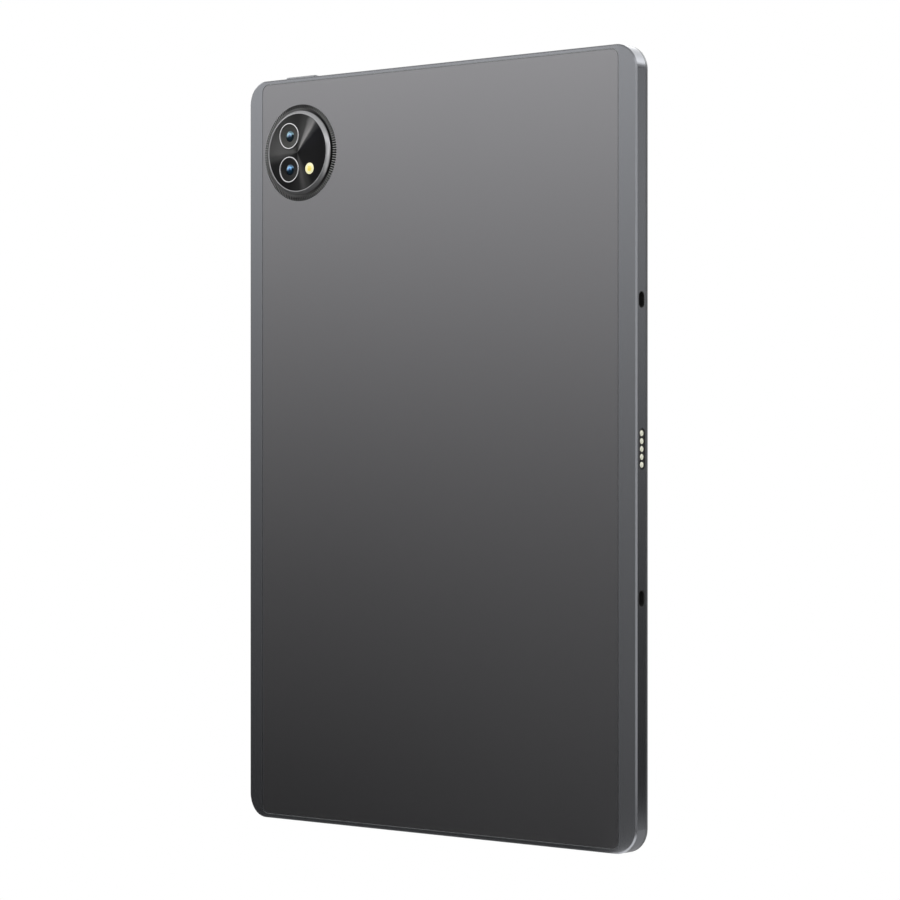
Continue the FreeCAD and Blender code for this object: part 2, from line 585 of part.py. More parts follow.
def keys():
    """Power key on the upper edge and volume rocker on the side, with the switches they press."""
    power = plain("power_button", "top", f"{INNER_TOP} + key_lift", "body_height + power_proud",
                  rounded(POWER_X, "key_level", "power_length", "key_thickness", "key_corner"))
    crown = number("body_height + power_proud")
    power.dress("Fillet", "power_round", lambda edge: edge.BoundBox.ZMin > crown - 1e-4)
    power.pad("top", f"{INNER_TOP} - lip_gap", f"{INNER_TOP} + key_lift", rectangle(
        POWER_X, "key_level", "power_length - 2 * stem_inset", "lip_width"))
    power.pad("top", f"{INNER_TOP} - lip_gap - lip_thickness", f"{INNER_TOP} - lip_gap", rectangle(
        POWER_X, "key_level", "power_length + 2 * lip", "lip_width"))
    rocker = plain("volume_rocker", "side", f"{INNER_SIDE} + key_lift", f"{SIDE} + rocker_proud",
                   rounded("key_level", ROCKER_Z, "key_thickness", "rocker_length", "key_corner"))
    edge_x = number(f"{SIDE} + rocker_proud")
    rocker.dress("Fillet", "rocker_round", lambda edge: edge.BoundBox.XMin > edge_x - 1e-4)
    rocker.pad("side", f"{INNER_SIDE} - 2 * lip_gap", f"{INNER_SIDE} + key_lift", rectangle(
        "key_level", ROCKER_Z, "lip_width", "rocker_length - 2 * stem_inset"))
    rocker.pad("side", f"{INNER_SIDE} - 2 * lip_gap - lip_thickness", f"{INNER_SIDE} - 2 * lip_gap",
               rectangle("key_level", ROCKER_Z, "lip_width", "rocker_length + 2 * lip"))
    power_switch = plain(
        "power_switch", "top", f"{INNER_TOP} - power_switch_back",
        f"{INNER_TOP} - lip_gap - lip_thickness - key_travel - switch_gap",
        rounded(POWER_X, "key_level", "switch_side", "lip_width", "switch_corner"))
    switches = [plain(f"volume_switch{count}", "side", f"{INNER_SIDE} - volume_switch_back",
                      f"{INNER_SIDE} - 2 * lip_gap - lip_thickness - key_travel - switch_gap",
                      rounded("key_level", f"{ROCKER_Z} + {sign} * (rocker_length / 2 - switch_in)",
                              "lip_width", "switch_side", "switch_corner"))
                for count, sign in enumerate((1, -1), start=1)]
    flex = plain("side_key_flex", "side", f"{INNER_SIDE} - volume_flex_back",
                 f"{INNER_SIDE} - volume_flex_back + key_flex_thickness", rectangle(
                     "key_level", ROCKER_Z, "key_flex_width", "rocker_length + 2 * key_flex_past"))
    strip = plain("power_key_flex", "top", f"{INNER_TOP} - power_flex_back",
                  f"{INNER_TOP} - power_flex_back + key_flex_thickness", rectangle(
                      POWER_X, "key_level", "power_length", "key_flex_width"))
    return [power, power_switch, rocker, group("volume_switches", switches), flex, strip]


def card_drawer():
    """Card tray, the reader it slides in and the eject lever."""
    face = f"{SIDE} - card_face_thickness"
    tray = plain("card_tray", "side", face, SIDE, oblong(
        "key_level", CARD_Z, "key_thickness", "card_face"))
    tray.pad("side", f"{SIDE} - card_depth", face, rectangle(
        "key_level", CARD_Z, "card_thickness", "card_width"))
    tray.pocket("side", face, SIDE, disc("key_level", f"{CARD_Z} - card_face / 2 + pin_hole_in", "pin_hole"))
    middle = f"({SIDE} - card_depth / 2 - well_shift)"
    wells = each(*[rounded(middle, f"{CARD_Z} + {sign} * (card_width / 4 - well_centre)", "well_length",
                           "card_width / 2 - 2 * well_margin", "well_corner") for sign in (1, -1)])
    tray.pocket("rear", "key_level - card_thickness / 2 + well_floor", "key_level + card_thickness", wells)
    inner = f"({SIDE} - card_depth - reader_past)"
    length = f"({INNER_SIDE} - reader_gap - {inner})"
    centre = f"({inner} + {length} / 2)"
    opening = "(card_thickness + 2 * card_gap)"
    reader = plain("card_reader", "rear", f"key_level - {opening} / 2 - reader_wall",
                   f"key_level + {opening} / 2 + reader_wall",
                   rectangle(centre, CARD_Z, length, "card_width + 2 * card_gap + 2 * reader_wall"))
    reader.pocket("side", f"{inner} + reader_wall", f"{INNER_SIDE}", rectangle(
        "key_level", CARD_Z, opening, "card_width + 2 * card_gap"))
    reader.pocket("side", f"{inner} - lever_slot_lead", f"{inner} + lever_slot_depth", rectangle(
        "key_level", f"{CARD_Z} - card_width / 2 + lever_slot_rise", opening, "lever_slot"))
    lever_x = f"({inner} + lever_in)"
    lever_z = f"({CARD_Z} - card_width / 2 - lever_drop)"
    lower, upper = "key_level - lever_thickness / 2", "key_level + lever_thickness / 2"
    lever = plain("eject_lever", "rear", lower, upper, rounded(
        lever_x, lever_z, "lever_width", "lever_length", "lever_corner"))
    lever.pocket("rear", lower, upper, disc(lever_x, lever_z, "lever_hole"))
    pivot = plain("lever_pin", "rear", "key_level - lever_pin_length / 2", "key_level + lever_pin_length / 2",
                  disc(lever_x, lever_z, "lever_pin"))
    return [tray, reader, lever, pivot]


def charging_port():
    """Socket shell, its contact tongue and the lower board it is mounted on."""
    low, high = "usb_sunk", "usb_sunk + usb_depth"
    corner = "(usb_height / 2 - 0.02)"
    shell = plain("usb_shell", "top", low, high, rounded(
        "0", "usb_level", "usb_width", "usb_height", corner))
    shell.pocket("top", low, f"{high} - 0.6", rounded(
        "0", "usb_level", "usb_width - 2 * usb_wall", "usb_height - 2 * usb_wall",
        f"({corner} - usb_wall)"))
    tongue = plain("usb_tongue", "top", f"{low} + 0.6", f"{high} - 0.6", rounded(
        "0", "usb_level", "tongue_width", "tongue_thickness", "0.15"))
    base, top = "(wall + 0.6)", f"({ZONE_LOW} - 2)"
    edge = "lower_board / 2"
    notch = "(usb_width / 2 + 0.3)"
    mouth = "(usb_sunk + usb_depth + 0.3)"
    points = [(f"-{edge}", base), (f"-{notch}", base), (f"-{notch}", mouth), (notch, mouth),
              (notch, base), (edge, base), (edge, top), (f"-{edge}", top)]
    board = plain("lower_board", "rear", "0.6", "1.2", lambda draw: draw.polygon(points))
    return [shell, tongue, board]


def cells():
    """Two battery cells side by side with their tape and protection board."""
    low, high = "cell_floor", "cell_floor + cell_thickness"
    width = f"({OPEN_SIDE} - side_margin - cell_gap / 2)"
    base, top = f"({ZONE_LOW} + zone_gap)", f"({ZONE_TOP} - zone_gap - 6)"
    height, middle = f"({top} - {base})", f"(({top} + {base}) / 2)"
    pieces, tapes = [], []
    for which, sign in (("left", -1), ("right", 1)):
        centre = f"{sign} * (cell_gap / 2 + {width} / 2)"
        cell = plain(f"battery_{which}", "rear", low, high, rounded(
            centre, middle, width, height, "1.5"))
        cell.dress("Fillet", "0.6", lambda edge: level(edge, number(high)))
        pieces.append(cell)
        tapes.append(plain(f"tape_{which}", "rear", DECK_BACK, "cell_floor", rectangle(
            centre, middle, f"{width} - 2 * tape_margin", f"{height} - 2 * tape_margin")))
    guard = plain("battery_guard_board", "rear", "0.3", "0.9", rectangle(
        "0", f"{top} + 3.2", "80", "4.4"))
    return pieces + [group("battery_tapes", tapes), guard]


def main_board():
    """Main board with shield cans, processor, memory and the card reader's tongue."""
    left, right = f"(6 - {INNER_SIDE})", f"({CAMERA_X} - camera_clear)"
    far = f"({INNER_SIDE} - 3.2)"
    base, top = f"({ZONE_TOP} + 0.5)", f"({INNER_TOP} - board_drop)"
    shoulder = f"({CARD_Z} + card_width / 2 + 2)"
    points = [(left, base), (far, base), (far, shoulder), (right, shoulder), (right, top),
              (left, top)]
    board = plain("main_board", "rear", BOARD_FRONT, "board_rear", lambda draw: draw.polygon(points))
    low, high = "board_rear", "(board_rear + can_height)"
    pieces = [board]
    cans = {"shield_can_left": (f"({left} + 24)", "38", "36"),
            "shield_can_right": (f"({left} + 70)", "44", "36")}
    middle = f"({base} + 24)"
    for label, (x, width, height) in cans.items():
        can = plain(label, "rear", low, high, rounded(x, middle, width, height, "0.8"))
        can.pocket("rear", low, f"{high} - can_wall", rounded(
            x, middle, f"{width} - 2 * can_wall", f"{height} - 2 * can_wall", "0.6"))
        pieces.append(can)
    chips = {"processor": (f"({left} + 70)", "14"), "memory_chip": (f"({left} + 24)", "12")}
    for label, (x, side) in chips.items():
        pieces.append(plain(label, "rear", low, "(board_rear + 0.45)", rounded(
            x, middle, side, side, "0.3")))
    return pieces


def sound():
    """Loudspeaker boxes, each with its dust mesh, tied to the vents in the short edges."""
    pieces = []
    meshes = []
    for label, (x, end) in SPEAKERS.items():
        low = "(wall + mesh + 0.1)" if end == "low" else f"({INNER_TOP} - mesh - 0.1 - speaker_depth)"
        box = plain(label, "rear", "0", "speaker_height", rounded(
            x, f"{low} + speaker_depth / 2", "speaker_width", "speaker_depth", "1"))
        box.pocket("rear", "speaker_height - 0.6", "speaker_height", rounded(
            x, f"{low} + speaker_depth / 2", "speaker_width - 10", "speaker_depth - 8", "3"))
        pieces.append(box)
        z = "wall + 0.05" if end == "low" else f"{INNER_TOP} - 0.05 - mesh"
        meshes.append(plain(f"{label}_mesh", "top", z, f"{z} + mesh", rectangle(
            x, "key_level + 0.35", "vent_count * vent_pitch + 1", "2.1")))
    return pieces + [group("speaker_meshes", meshes)]


def front_parts():
    """Front camera and light sensor behind the glass, at the middle of one long border."""
    camera = plain("front_camera", "rear", f"{GLASS_BACK} + 1", "0.6", rectangle(
        SELFIE_X, MIDDLE, "selfie_side", "selfie_side"))
    camera.pad("rear", f"{GLASS_BACK} + 0.1", f"{GLASS_BACK} + 1", disc(
        SELFIE_X, MIDDLE, "selfie_radius"))
    sensor = plain("light_sensor", "rear", f"{GLASS_BACK} + 0.1", f"{GLASS_BACK} + 0.9", rectangle(
        SELFIE_X, f"{MIDDLE} + sensor_offset", "2", "3"))
    return [camera, sensor]


def flexes():
    """Ribbons between the boards, lying flat in the gaps the boards leave."""
    between = "(cell_floor + cell_thickness + 0.05)"
    low, high = f"({ZONE_LOW} - 6)", f"({ZONE_TOP} + 4)"
    bridge = plain("board_to_board_flex", "rear", between, f"{between} + 0.1", rectangle(
        "0", f"(({low}) + ({high})) / 2", "16", f"({high}) - ({low})"))
    dock = plain("dock_flex", "rear", "0.3", "0.4", rectangle(
        f"2.7 - {INNER_SIDE}", f"({MIDDLE} + {ZONE_TOP} + 8) / 2", "2", f"{ZONE_TOP} + 4 - {MIDDLE}"))
    foil_low, foil_high = "30", f"({CAMERA_Z} - knurl_radius - 2)"
    foil = plain("graphite_sheet", "rear", f"{PLATE_FLOOR} - 0.2", f"{PLATE_FLOOR} - 0.1", rounded(
        "0", f"({foil_low} + {foil_high}) / 2", f"2 * {OPEN_SIDE} - 16",
        f"{foil_high} - {foil_low}", "4"))
    return [bridge, dock, foil]


def screws():
    """Small pan screws that hold the boards, as one group."""
    x_board, x_low = f"({INNER_SIDE} - 9)", "(lower_board / 2 - 3)"
    places = [(f"-{x_board}", f"{ZONE_TOP} + 4", "board_rear"),
              (f"-{x_board}", f"{INNER_TOP} - board_drop - 3.5", "board_rear"),
              (f"{CAMERA_X} - camera_clear - 3", f"{INNER_TOP} - board_drop - 3.5", "board_rear"),
              (f"-{x_low}", f"{ZONE_LOW} - 5", "1.2"), (x_low, f"{ZONE_LOW} - 5", "1.2")]
    heads = []
    for count, (x, z, seat) in enumerate(places, start=1):
        screw = plain(f"screw{count}", "rear", seat, f"{seat} + screw_head_thickness",
                      disc(x, z, "screw_head"))
        screw.pocket("rear", f"{seat} + screw_recess", f"{seat} + screw_head_thickness",
                     rectangle(x, z, "0.3", "1.4"))
        heads.append(screw)
    return group("board_screws", heads)


def build():
    pieces = [mid_frame(), front_bezel(), *rear_cover(), *screen(), *camera_island(),
              camera_bracket(), *dock(), *keys(), *card_drawer(), *charging_port(), *cells(),
              *main_board(), *sound(), *front_parts(), *flexes(), screws()]
    return [getattr(piece, "body", piece) for piece in pieces]


def check(nodes):
    """Stop with a plain message if any object failed or any sub-part has no sound shape."""
    for item in doc.Objects:
        if {"Invalid", "Error"} & set(item.State):
            raise SystemExit(f"{item.Label} failed: {item.State}")
    for node in nodes:
        if node.Shape.isNull() or not node.Shape.isValid() or node.Shape.Volume <= 0:
            raise SystemExit(f"{node.Label} has no sound shape")


def main():
    nodes = build()
    doc.recompute()
    check(nodes)
    os.makedirs("parts", exist_ok=True)
    for node in nodes:
        node.Shape.exportStep(f"parts/{node.Label}.step")
    print(len(nodes), "sub-parts written")


main()
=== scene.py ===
import math
import bmesh
import bpy
import numpy as np
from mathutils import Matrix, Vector


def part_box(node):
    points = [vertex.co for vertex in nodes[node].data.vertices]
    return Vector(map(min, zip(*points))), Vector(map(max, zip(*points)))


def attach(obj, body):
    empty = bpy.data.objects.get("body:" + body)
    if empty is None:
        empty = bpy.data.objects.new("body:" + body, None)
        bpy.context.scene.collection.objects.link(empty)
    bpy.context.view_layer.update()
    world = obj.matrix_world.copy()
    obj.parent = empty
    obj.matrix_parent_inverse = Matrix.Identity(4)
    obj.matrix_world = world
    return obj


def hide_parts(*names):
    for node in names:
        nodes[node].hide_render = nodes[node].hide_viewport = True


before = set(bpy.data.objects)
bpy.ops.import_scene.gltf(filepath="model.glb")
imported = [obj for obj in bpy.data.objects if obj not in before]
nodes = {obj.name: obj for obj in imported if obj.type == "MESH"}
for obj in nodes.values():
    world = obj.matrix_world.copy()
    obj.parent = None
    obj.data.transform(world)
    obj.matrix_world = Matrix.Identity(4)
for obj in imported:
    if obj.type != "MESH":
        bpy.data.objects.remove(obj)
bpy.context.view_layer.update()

mm = 0.001                      # one millimetre in the scene's metres
fullTurn = 2 * math.pi
print("frame loaded:", len(nodes), "nodes")


# One output socket. Sums and products on it add Math nodes, so 1 - mask works.
class Wire:
    def __init__(self, tree, socket=None):
        self.tree = tree
        self.socket = socket

    # Any node: its type, what is set on it first, then the values or links of its sockets.
    def node(self, kind, settings=None, values=None, output=0):
        made = self.tree.nodes.new(kind)
        for name, setting in (settings or {}).items():
            if name == "stops":
                ends = made.color_ramp.elements
                ends[0].position, ends[0].color = setting[0][0], colour(setting[0][1])
                ends[1].position, ends[1].color = setting[-1][0], colour(setting[-1][1])
                for spot, shade in setting[1:-1]:
                    ends.new(spot).color = colour(shade)
            elif name == "interpolation":
                made.color_ramp.interpolation = setting
            else:
                setattr(made, name, setting)
        for key, value in (values or {}).items():
            socket = made.inputs[key]
            if isinstance(value, Wire):
                self.tree.links.new(value.socket, socket)
            else:
                socket.default_value = colour(value) if socket.type == "RGBA" else value
        return Wire(self.tree, made.outputs[output])

    def calc(self, operation, *others):
        return self.node("ShaderNodeMath", {"operation": operation}, dict(enumerate((self, *others))))

    def __add__(self, other): return self.calc("ADD", other)
    def __radd__(self, other): return self.calc("ADD", other)
    def __sub__(self, other): return self.calc("SUBTRACT", other)
    def __mul__(self, other): return self.calc("MULTIPLY", other)
    def __truediv__(self, other): return self.calc("DIVIDE", other)
    def __pow__(self, other): return self.calc("POWER", other)
    def __gt__(self, other): return self.calc("GREATER_THAN", other)

    def __rsub__(self, other):
        return self.node("ShaderNodeMath", {"operation": "SUBTRACT"}, {0: other, 1: self})

    def vector(self, operation, other):
        slot = "Scale" if operation == "SCALE" else 1
        return self.node("ShaderNodeVectorMath", {"operation": operation}, {0: self, slot: other})

    def axes(self):
        first = self.node("ShaderNodeSeparateXYZ", {}, {0: self})
        return [Wire(self.tree, socket) for socket in first.socket.node.outputs]

    def fit(self, low, high, first=0.0, last=1.0):
        return self.node("ShaderNodeMapRange", {"interpolation_type": "SMOOTHSTEP"},
                         {"Value": self, "From Min": low, "From Max": high, "To Min": first,
                          "To Max": last})

    def tint(self, first, second):
        return self.node("ShaderNodeMix", {"data_type": "RGBA"}, {0: self, 6: first, 7: second}, output=2)

    def ramp(self, stops, interpolation="LINEAR"):
        return self.node("ShaderNodeValToRGB", {"stops": stops, "interpolation": interpolation}, {0: self})

    def noise(self, perUnit, detail=2.0, roughness=0.5):
        return self.node("ShaderNodeTexNoise", {},
                         {"Vector": self, "Scale": perUnit, "Detail": detail, "Roughness": roughness})

    def cells(self, perUnit, feature="F1"):
        return self.node("ShaderNodeTexVoronoi", {"feature": feature}, {"Vector": self, "Scale": perUnit})

    def stretched(self, scale, turn=(0.0, 0.0, 0.0)):
        return self.node("ShaderNodeMapping", {}, {"Vector": self, "Scale": scale, "Rotation": turn})

    # A sine of -1 to 1 with so many waves in a millimetre.
    def wave(self, perMm):
        return (self * perMm * fullTurn).calc("SINE")

    # The same from 0 to 1.
    def ripple(self, perMm):
        return self.wave(perMm) * 0.5 + 0.5

    # A weighted mean of this and another, share being the weight of this one.
    def shared(self, other, share):
        return self * share + other * (1 - share)


def colour(shade):
    return (shade, shade, shade, 1.0) if isinstance(shade, (int, float)) else (*shade[:3], 1.0)


# A Principled surface; relief is a height of 0 to 1 that stands for depth millimetres.
def coated(place, values, relief, depth):
    bump = place.node("ShaderNodeBump", {}, {"Strength": 1.0, "Distance": depth * mm, "Height": relief})
    return place.node("ShaderNodeBsdfPrincipled", {}, {**values, "Normal": bump})


# A material whose recipe gets the object's own coordinates in millimetres.
def material(name, recipe, look):
    made = bpy.data.materials.new(name)
    made.use_nodes = True
    tree = made.node_tree
    tree.nodes.clear()
    start = Wire(tree)
    place = start.node("ShaderNodeTexCoord", output=3).vector("SCALE", 1 / mm)
    end = tree.nodes.new("ShaderNodeOutputMaterial")
    tree.links.new(recipe(place, look).socket, end.inputs["Surface"])
    made.diffuse_color = colour(look.get("tone", 0.3))
    return made


def dress(look, *names):
    for name in names:
        for slot in nodes[name].material_slots:
            slot.material = look


def distance(first, second):
    return (first * first + second * second).calc("SQRT")


# Distance, in cells, to the middle of its own square cell in the plane of X and Z.
def cellDistance(place, perMm):
    x, _, z = place.axes()
    return distance((x * perMm).calc("FRACT") - 0.5, (z * perMm).calc("FRACT") - 0.5)


# Radius and turn (0 to 1, anticlockwise from 9 o'clock as seen from outside) about a centre.
def polar(place, centre):
    x, _, rise = place.vector("SUBTRACT", tuple(c / mm for c in centre)).axes()
    side = x * -1.0
    return distance(side, rise), rise.calc("ARCTAN2", side) / fullTurn + 0.5


# Tone drifts slowly with a wide noise; blasted grain = fine noise; roughness = base + grain share. Where
# the look asks for it, the metal gives way to a dull share that grows across the part towards -X and near
# the rear face: painted light, lightening that side.
def blastedMetal(place, look):
    driftScale, fleckScale = 0.015, 0.7
    grain = place.noise(look["grain"], 3.0, 0.6)
    drift = place.noise(driftScale, 3.0)
    fleck = place.cells(look["grain"] * fleckScale)
    metal = 1.0
    if "haze" in look:
        x, y, _ = place.axes()
        metal = 1 - (x * -1.0).fit(*look["hazeSpan"]) * y.fit(*look["hazeDepth"]) * look["haze"]
    return coated(place, {
        "Base Color": drift.shared(grain, 0.6).tint(look["tone"], look["deep"]),
        "Metallic": metal,
        "Roughness": look["roughness"] + (grain - 0.5) * look["patchy"]},
        grain.shared(fleck, 0.7), look["relief"])


# Concentric tool marks: relief and roughness follow a wave of the radius about the centre.
def turnedMetal(place, look):
    smearScale, smearDull, markDull = 1.2, 0.06, 0.03
    marks = polar(place, look["centre"])[0].ripple(look["marks"])
    smear = place.noise(smearScale, 3.0)
    return coated(place, {
        "Base Color": smear.shared(marks, 0.7).tint(look["tone"], look["deep"]),
        "Metallic": look["metal"],
        "Roughness": look["roughness"] + smear * smearDull + marks * markDull}, marks, look["relief"])


# Smooth slope inside a start radius; outside it, tone follows the teeth: a triangle wave of the angle,
# a painted highlight on the crests and painted shade, black, in the roots, with wear from a noise. The
# slope's tone and the tone of the crests are both ramps of the turn: painted light and shade round the
# ring.
def toothedMetal(place, look):
    wearScale, crestWear, slopeWear, wearDull, depth = 2.5, 0.2, 0.02, 0.10, 0.004
    crestEdge, startWidth = (0.58, 0.72), 0.2
    radius, turn = polar(place, look["centre"])
    crest = 1 - ((turn * look["teeth"]).calc("FRACT") * 2 - 1).calc("ABSOLUTE")
    wear = place.noise(wearScale, 4.0)
    wornCrestLight = (crest + (wear - 0.5) * crestWear).fit(*crestEdge)
    outside = radius.fit(look["start"], look["start"] + startWidth)
    slope = (turn + (wear - 0.5) * slopeWear).ramp(look["slope"])
    tone = outside.tint(slope, wornCrestLight.tint(look["deep"], turn.ramp(look["crest"])))
    return coated(place, {
        "Base Color": tone, "Metallic": look["metal"], "Specular IOR Level": 0.02,
        "Roughness": look["roughness"] + wear * wearDull}, wear, depth)


# Colour = ramp of the angle about the disc's centre, a fan of painted reflection wedges, finely broken by
# rings of the radius, and dimmer both at the very centre and towards the edge.
def paintedSunburst(place, look):
    softScale, wander, edgeStart, edgeLoss = 0.5, 0.012, 0.55, 0.25
    ringShare, coreSpan, coreShare, ringDull, depth = 0.10, (0.2, 2.4), 0.45, 0.08, 0.001
    radius, turn = polar(place, look["centre"])
    rings = radius.ripple(look["rings"])
    soft = place.noise(softScale, 3.0)
    shade = (turn + (soft - 0.5) * wander).ramp(look["fan"], "EASE")
    edge = 1 - radius.fit(look["reach"] * edgeStart, look["reach"]) * edgeLoss
    dimmed = edge * (rings * ringShare + (1 - ringShare))
    core = radius.fit(*coreSpan) * coreShare + (1 - coreShare)
    lit = place.node("ShaderNodeMix", {"data_type": "RGBA", "blend_type": "MULTIPLY"},
                     {0: 1.0, 6: shade, 7: (dimmed * core).tint(0.0, 1.0)}, output=2)
    return coated(place, {
        "Base Color": lit, "Metallic": 0.55, "Roughness": 0.42 + rings * ringDull,
        "Specular IOR Level": 0.04, "Coat Weight": 0.05, "Coat Roughness": 0.04}, rings, depth)


# Painted coating reflections: colours follow the radius in rings, turned a little by the angle, on a
# mirror-smooth dome.
def coatReflectionLens(place, look):
    swirlShare, dustScale, dustDull, depth = 0.10, 3.0, 0.03, 0.002
    radius, turn = polar(place, look["centre"])
    swirl = (turn * fullTurn + look["swirl"]).calc("SINE") * swirlShare
    share = radius / look["reach"] + swirl
    dust = place.noise(dustScale)
    return coated(place, {
        "Base Color": share.ramp(look["coats"]), "Metallic": 0.85,
        "Roughness": 0.045 + dust * dustDull, "Coat Weight": 1.0,
        "Coat Roughness": 0.01}, share, depth)


# Light-trap ribs: a wave of the radius darkens and lifts the black surface, the grooves between ribs
# darker as painted shade.
def ribbedBlack(place, look):
    grainScale, grainDull, depth = 9.0, 0.12, 0.02
    ribs = polar(place, look["centre"])[0].ripple(look["ribs"])
    grain = place.noise(grainScale)
    return coated(place, {
        "Base Color": ribs.shared(grain, 0.8).tint(look["deep"], look["tone"]),
        "Roughness": look["roughness"] + grain * grainDull,
        "Coat Weight": look["gloss"], "Specular IOR Level": 0.2,
        "Coat Roughness": 0.05}, ribs, depth)


# Cream round the rim, phosphor yellow inside a rounded square |x|^4 + |z|^4, with the lens's ridges.
def flashLens(place, look):
    grainScale, ragged, squareEdge = 5.0, 0.35, (0.65, 1.25)
    ridgesPerMm, ridgeDull, depth = 3.2, 0.12, 0.03
    x, _, z = place.vector("SUBTRACT", tuple(c / mm for c in look["centre"])).axes()
    square = (x ** 4.0 + z ** 4.0) ** 0.25
    grain = place.noise(grainScale, 3.0)
    inner = 1 - (square + (grain - 0.5) * ragged).fit(*squareEdge)
    ridges = distance(x, z).ripple(ridgesPerMm)
    tone = inner.tint(look["cream"], look["phosphor"])
    # the lens is also given a painted glow by emission in its own tone, though the flash is unlit
    return coated(place, {
        "Base Color": tone, "Roughness": 0.22 + ridges * ridgeDull,
        "Emission Color": tone, "Emission Strength": look["glow"],
        "Coat Weight": 0.8, "Coat Roughness": 0.06}, ridges, depth)


# Moulded plastic: spark-eroded pits are softened cells, darker at their bottoms as painted shade; tone
# also shifts with a slow noise.
def sparkPlastic(place, look):
    cloudScale, pitDull = 0.25, 0.18
    pits = place.cells(look["pits"], "SMOOTH_F1")
    cloud = place.noise(cloudScale, 4.0)
    return coated(place, {
        "Base Color": cloud.shared(pits, 0.6).tint(look["deep"], look["tone"]),
        "Metallic": look.get("metal", 0.0),
        "Roughness": look["roughness"] + pits * pitDull}, pits, look["relief"])


# Black print round a switched-off panel: a rounded-rectangle mask splits border and active area, and
# the front camera and the light sensor are windows in the border.
def screenGlass(place, look):
    edge, sensorEdge, smudgeScale, smudgeDull, depth = 0.05, 0.1, 0.045, 0.05, 0.0008
    x, _, z = place.vector("SUBTRACT", (0.0, 0.0, look["middle"])).axes()
    inX = x.calc("ABSOLUTE") - (look["halfX"] - look["corner"])
    inZ = z.calc("ABSOLUTE") - (look["halfZ"] - look["corner"])
    outside = distance(inX.calc("MAXIMUM", 0.0), inZ.calc("MAXIMUM", 0.0))
    active = 1 - (outside - look["corner"]).fit(-edge, edge)
    rows = x.wave(look["pitch"]) * z.wave(look["pitch"])
    smudge = place.noise(smudgeScale, 4.0, 0.6)
    radius = distance(x - look["camera"][0], z - look["camera"][1])
    # the front camera is a painted lens in its window; its bluish ring is a painted glint
    iris = (radius / look["cameraRadius"]).ramp(look["iris"])
    window = 1 - radius.fit(look["cameraRadius"] - edge, look["cameraRadius"] + edge)
    away = distance(x - look["sensor"][0], z - look["sensor"][1])
    eye = 1 - away.fit(look["sensorRadius"] - sensorEdge, look["sensorRadius"])
    tone = active.tint(look["print"], (rows * 0.5 + 0.5).tint(look["panel"], look["panelDeep"]))
    tone = eye.tint(window.tint(tone, iris), look["sensorTone"])
    return coated(place, {
        "Base Color": tone, "Roughness": 0.03 + smudge * smudgeDull,
        "Specular IOR Level": 0.5, "Coat Weight": 0.6, "Coat Roughness": 0.02}, smudge, depth)


# Solder mask over copper: traces are thin bands of two waves bent by a noise, straight in some patches
# and slanted in the others, with plated holes at cell middles, black in the middle as painted shade.
def circuitBoard(place, look):
    slant, weaveScale, patches, holeScale, depth = 0.785, 0.12, 4.0, 0.45, 0.02
    linesPerMm, lineBend, lineEdge = 1.1, 6.0, (0.55, 0.75)
    slantsPerMm, slantBend, slantEdge = 0.9, 5.0, (0.70, 0.85)
    dotEdge, holeEdge, shine = (0.10, 0.16), (0.04, 0.07), 0.8
    across = place.axes()[0]
    aslant = place.stretched((1.0, 1.0, 1.0), (0.0, slant, 0.0)).axes()[0]
    weave = place.noise(weaveScale)
    lines = ((across * linesPerMm + weave * lineBend) * fullTurn).calc("SINE").fit(*lineEdge)
    slants = ((aslant * slantsPerMm + weave * slantBend) * fullTurn).calc("SINE").fit(*slantEdge)
    region = (weave * patches).calc("FRACT") > 0.5
    copper = lines * region + slants * (1 - region)
    cell = place.cells(holeScale)
    dots, hole = 1 - cell.fit(*dotEdge), 1 - cell.fit(*holeEdge)
    tone = dots.tint((copper * shine).tint(look["mask"], look["trace"]), look["plating"])
    return coated(place, {
        "Base Color": hole.tint(tone, look["hole"]), "Metallic": dots * shine,
        "Roughness": 0.42 - dots * 0.12}, copper * 0.4 + dots * 0.6 - hole, depth)


# Sheet metal: long streaks are noise squeezed across the rolling direction; handling marks are sparse.
def rolledSteel(place, look):
    markStretch, markTurn, markScale, markEdge = (0.9, 0.9, 0.06), (0.0, 0.4, 0.0), 0.8, (0.66, 0.72)
    streakDull, markShine, markDepth = 0.14, 0.05, 0.3
    streaks = place.stretched(look["stretch"]).noise(1.0, 4.0, 0.6)
    marks = place.stretched(markStretch, markTurn).noise(markScale).fit(*markEdge)
    return coated(place, {
        "Base Color": streaks.shared(marks, 0.8).tint(look["tone"], look["deep"]),
        "Metallic": 1.0,
        "Roughness": look["roughness"] + streaks * streakDull - marks * markShine},
        streaks * 0.8 - marks * markDepth, look["relief"])


# Shield cover: brushed streaks with a regular field of small pressed dimples, darker inside as painted
# shade.
def embossedTin(place, look):
    dimplesPerMm, dimpleEdge, brush = 0.5, (0.14, 0.22), (3.0, 3.0, 0.08)
    streakDull, streakDepth, depth = 0.16, 0.2, 0.05
    dimple = 1 - cellDistance(place, dimplesPerMm).fit(*dimpleEdge)
    streaks = place.stretched(brush).noise(1.0, 3.0)
    return coated(place, {
        "Base Color": streaks.shared(dimple, 0.7).tint(look["tone"], look["deep"]),
        "Metallic": 1.0, "Roughness": 0.30 + streaks * streakDull}, streaks * streakDepth - dimple, depth)


# Cell pouch: a crossed diagonal emboss under a wrap that creases in soft cells.
def pouchFoil(place, look):
    embossPerMm, creaseScale, creaseEdge, cloudScale, depth = 0.9, 0.06, (0.0, 0.05), 0.08, 0.04
    cloudDull, embossShine = 0.2, 0.05
    x, _, z = place.axes()
    emboss = ((x + z).wave(embossPerMm) * (x - z).wave(embossPerMm)) * 0.5 + 0.5
    crease = place.cells(creaseScale, "DISTANCE_TO_EDGE").fit(*creaseEdge)
    cloud = place.noise(cloudScale, 3.0)
    return coated(place, {
        "Base Color": emboss.shared(cloud, 0.3).tint(look["tone"], look["deep"]),
        "Metallic": 0.35, "Roughness": 0.38 + cloud * cloudDull - emboss * embossShine},
        emboss.shared(crease, 0.3), depth)


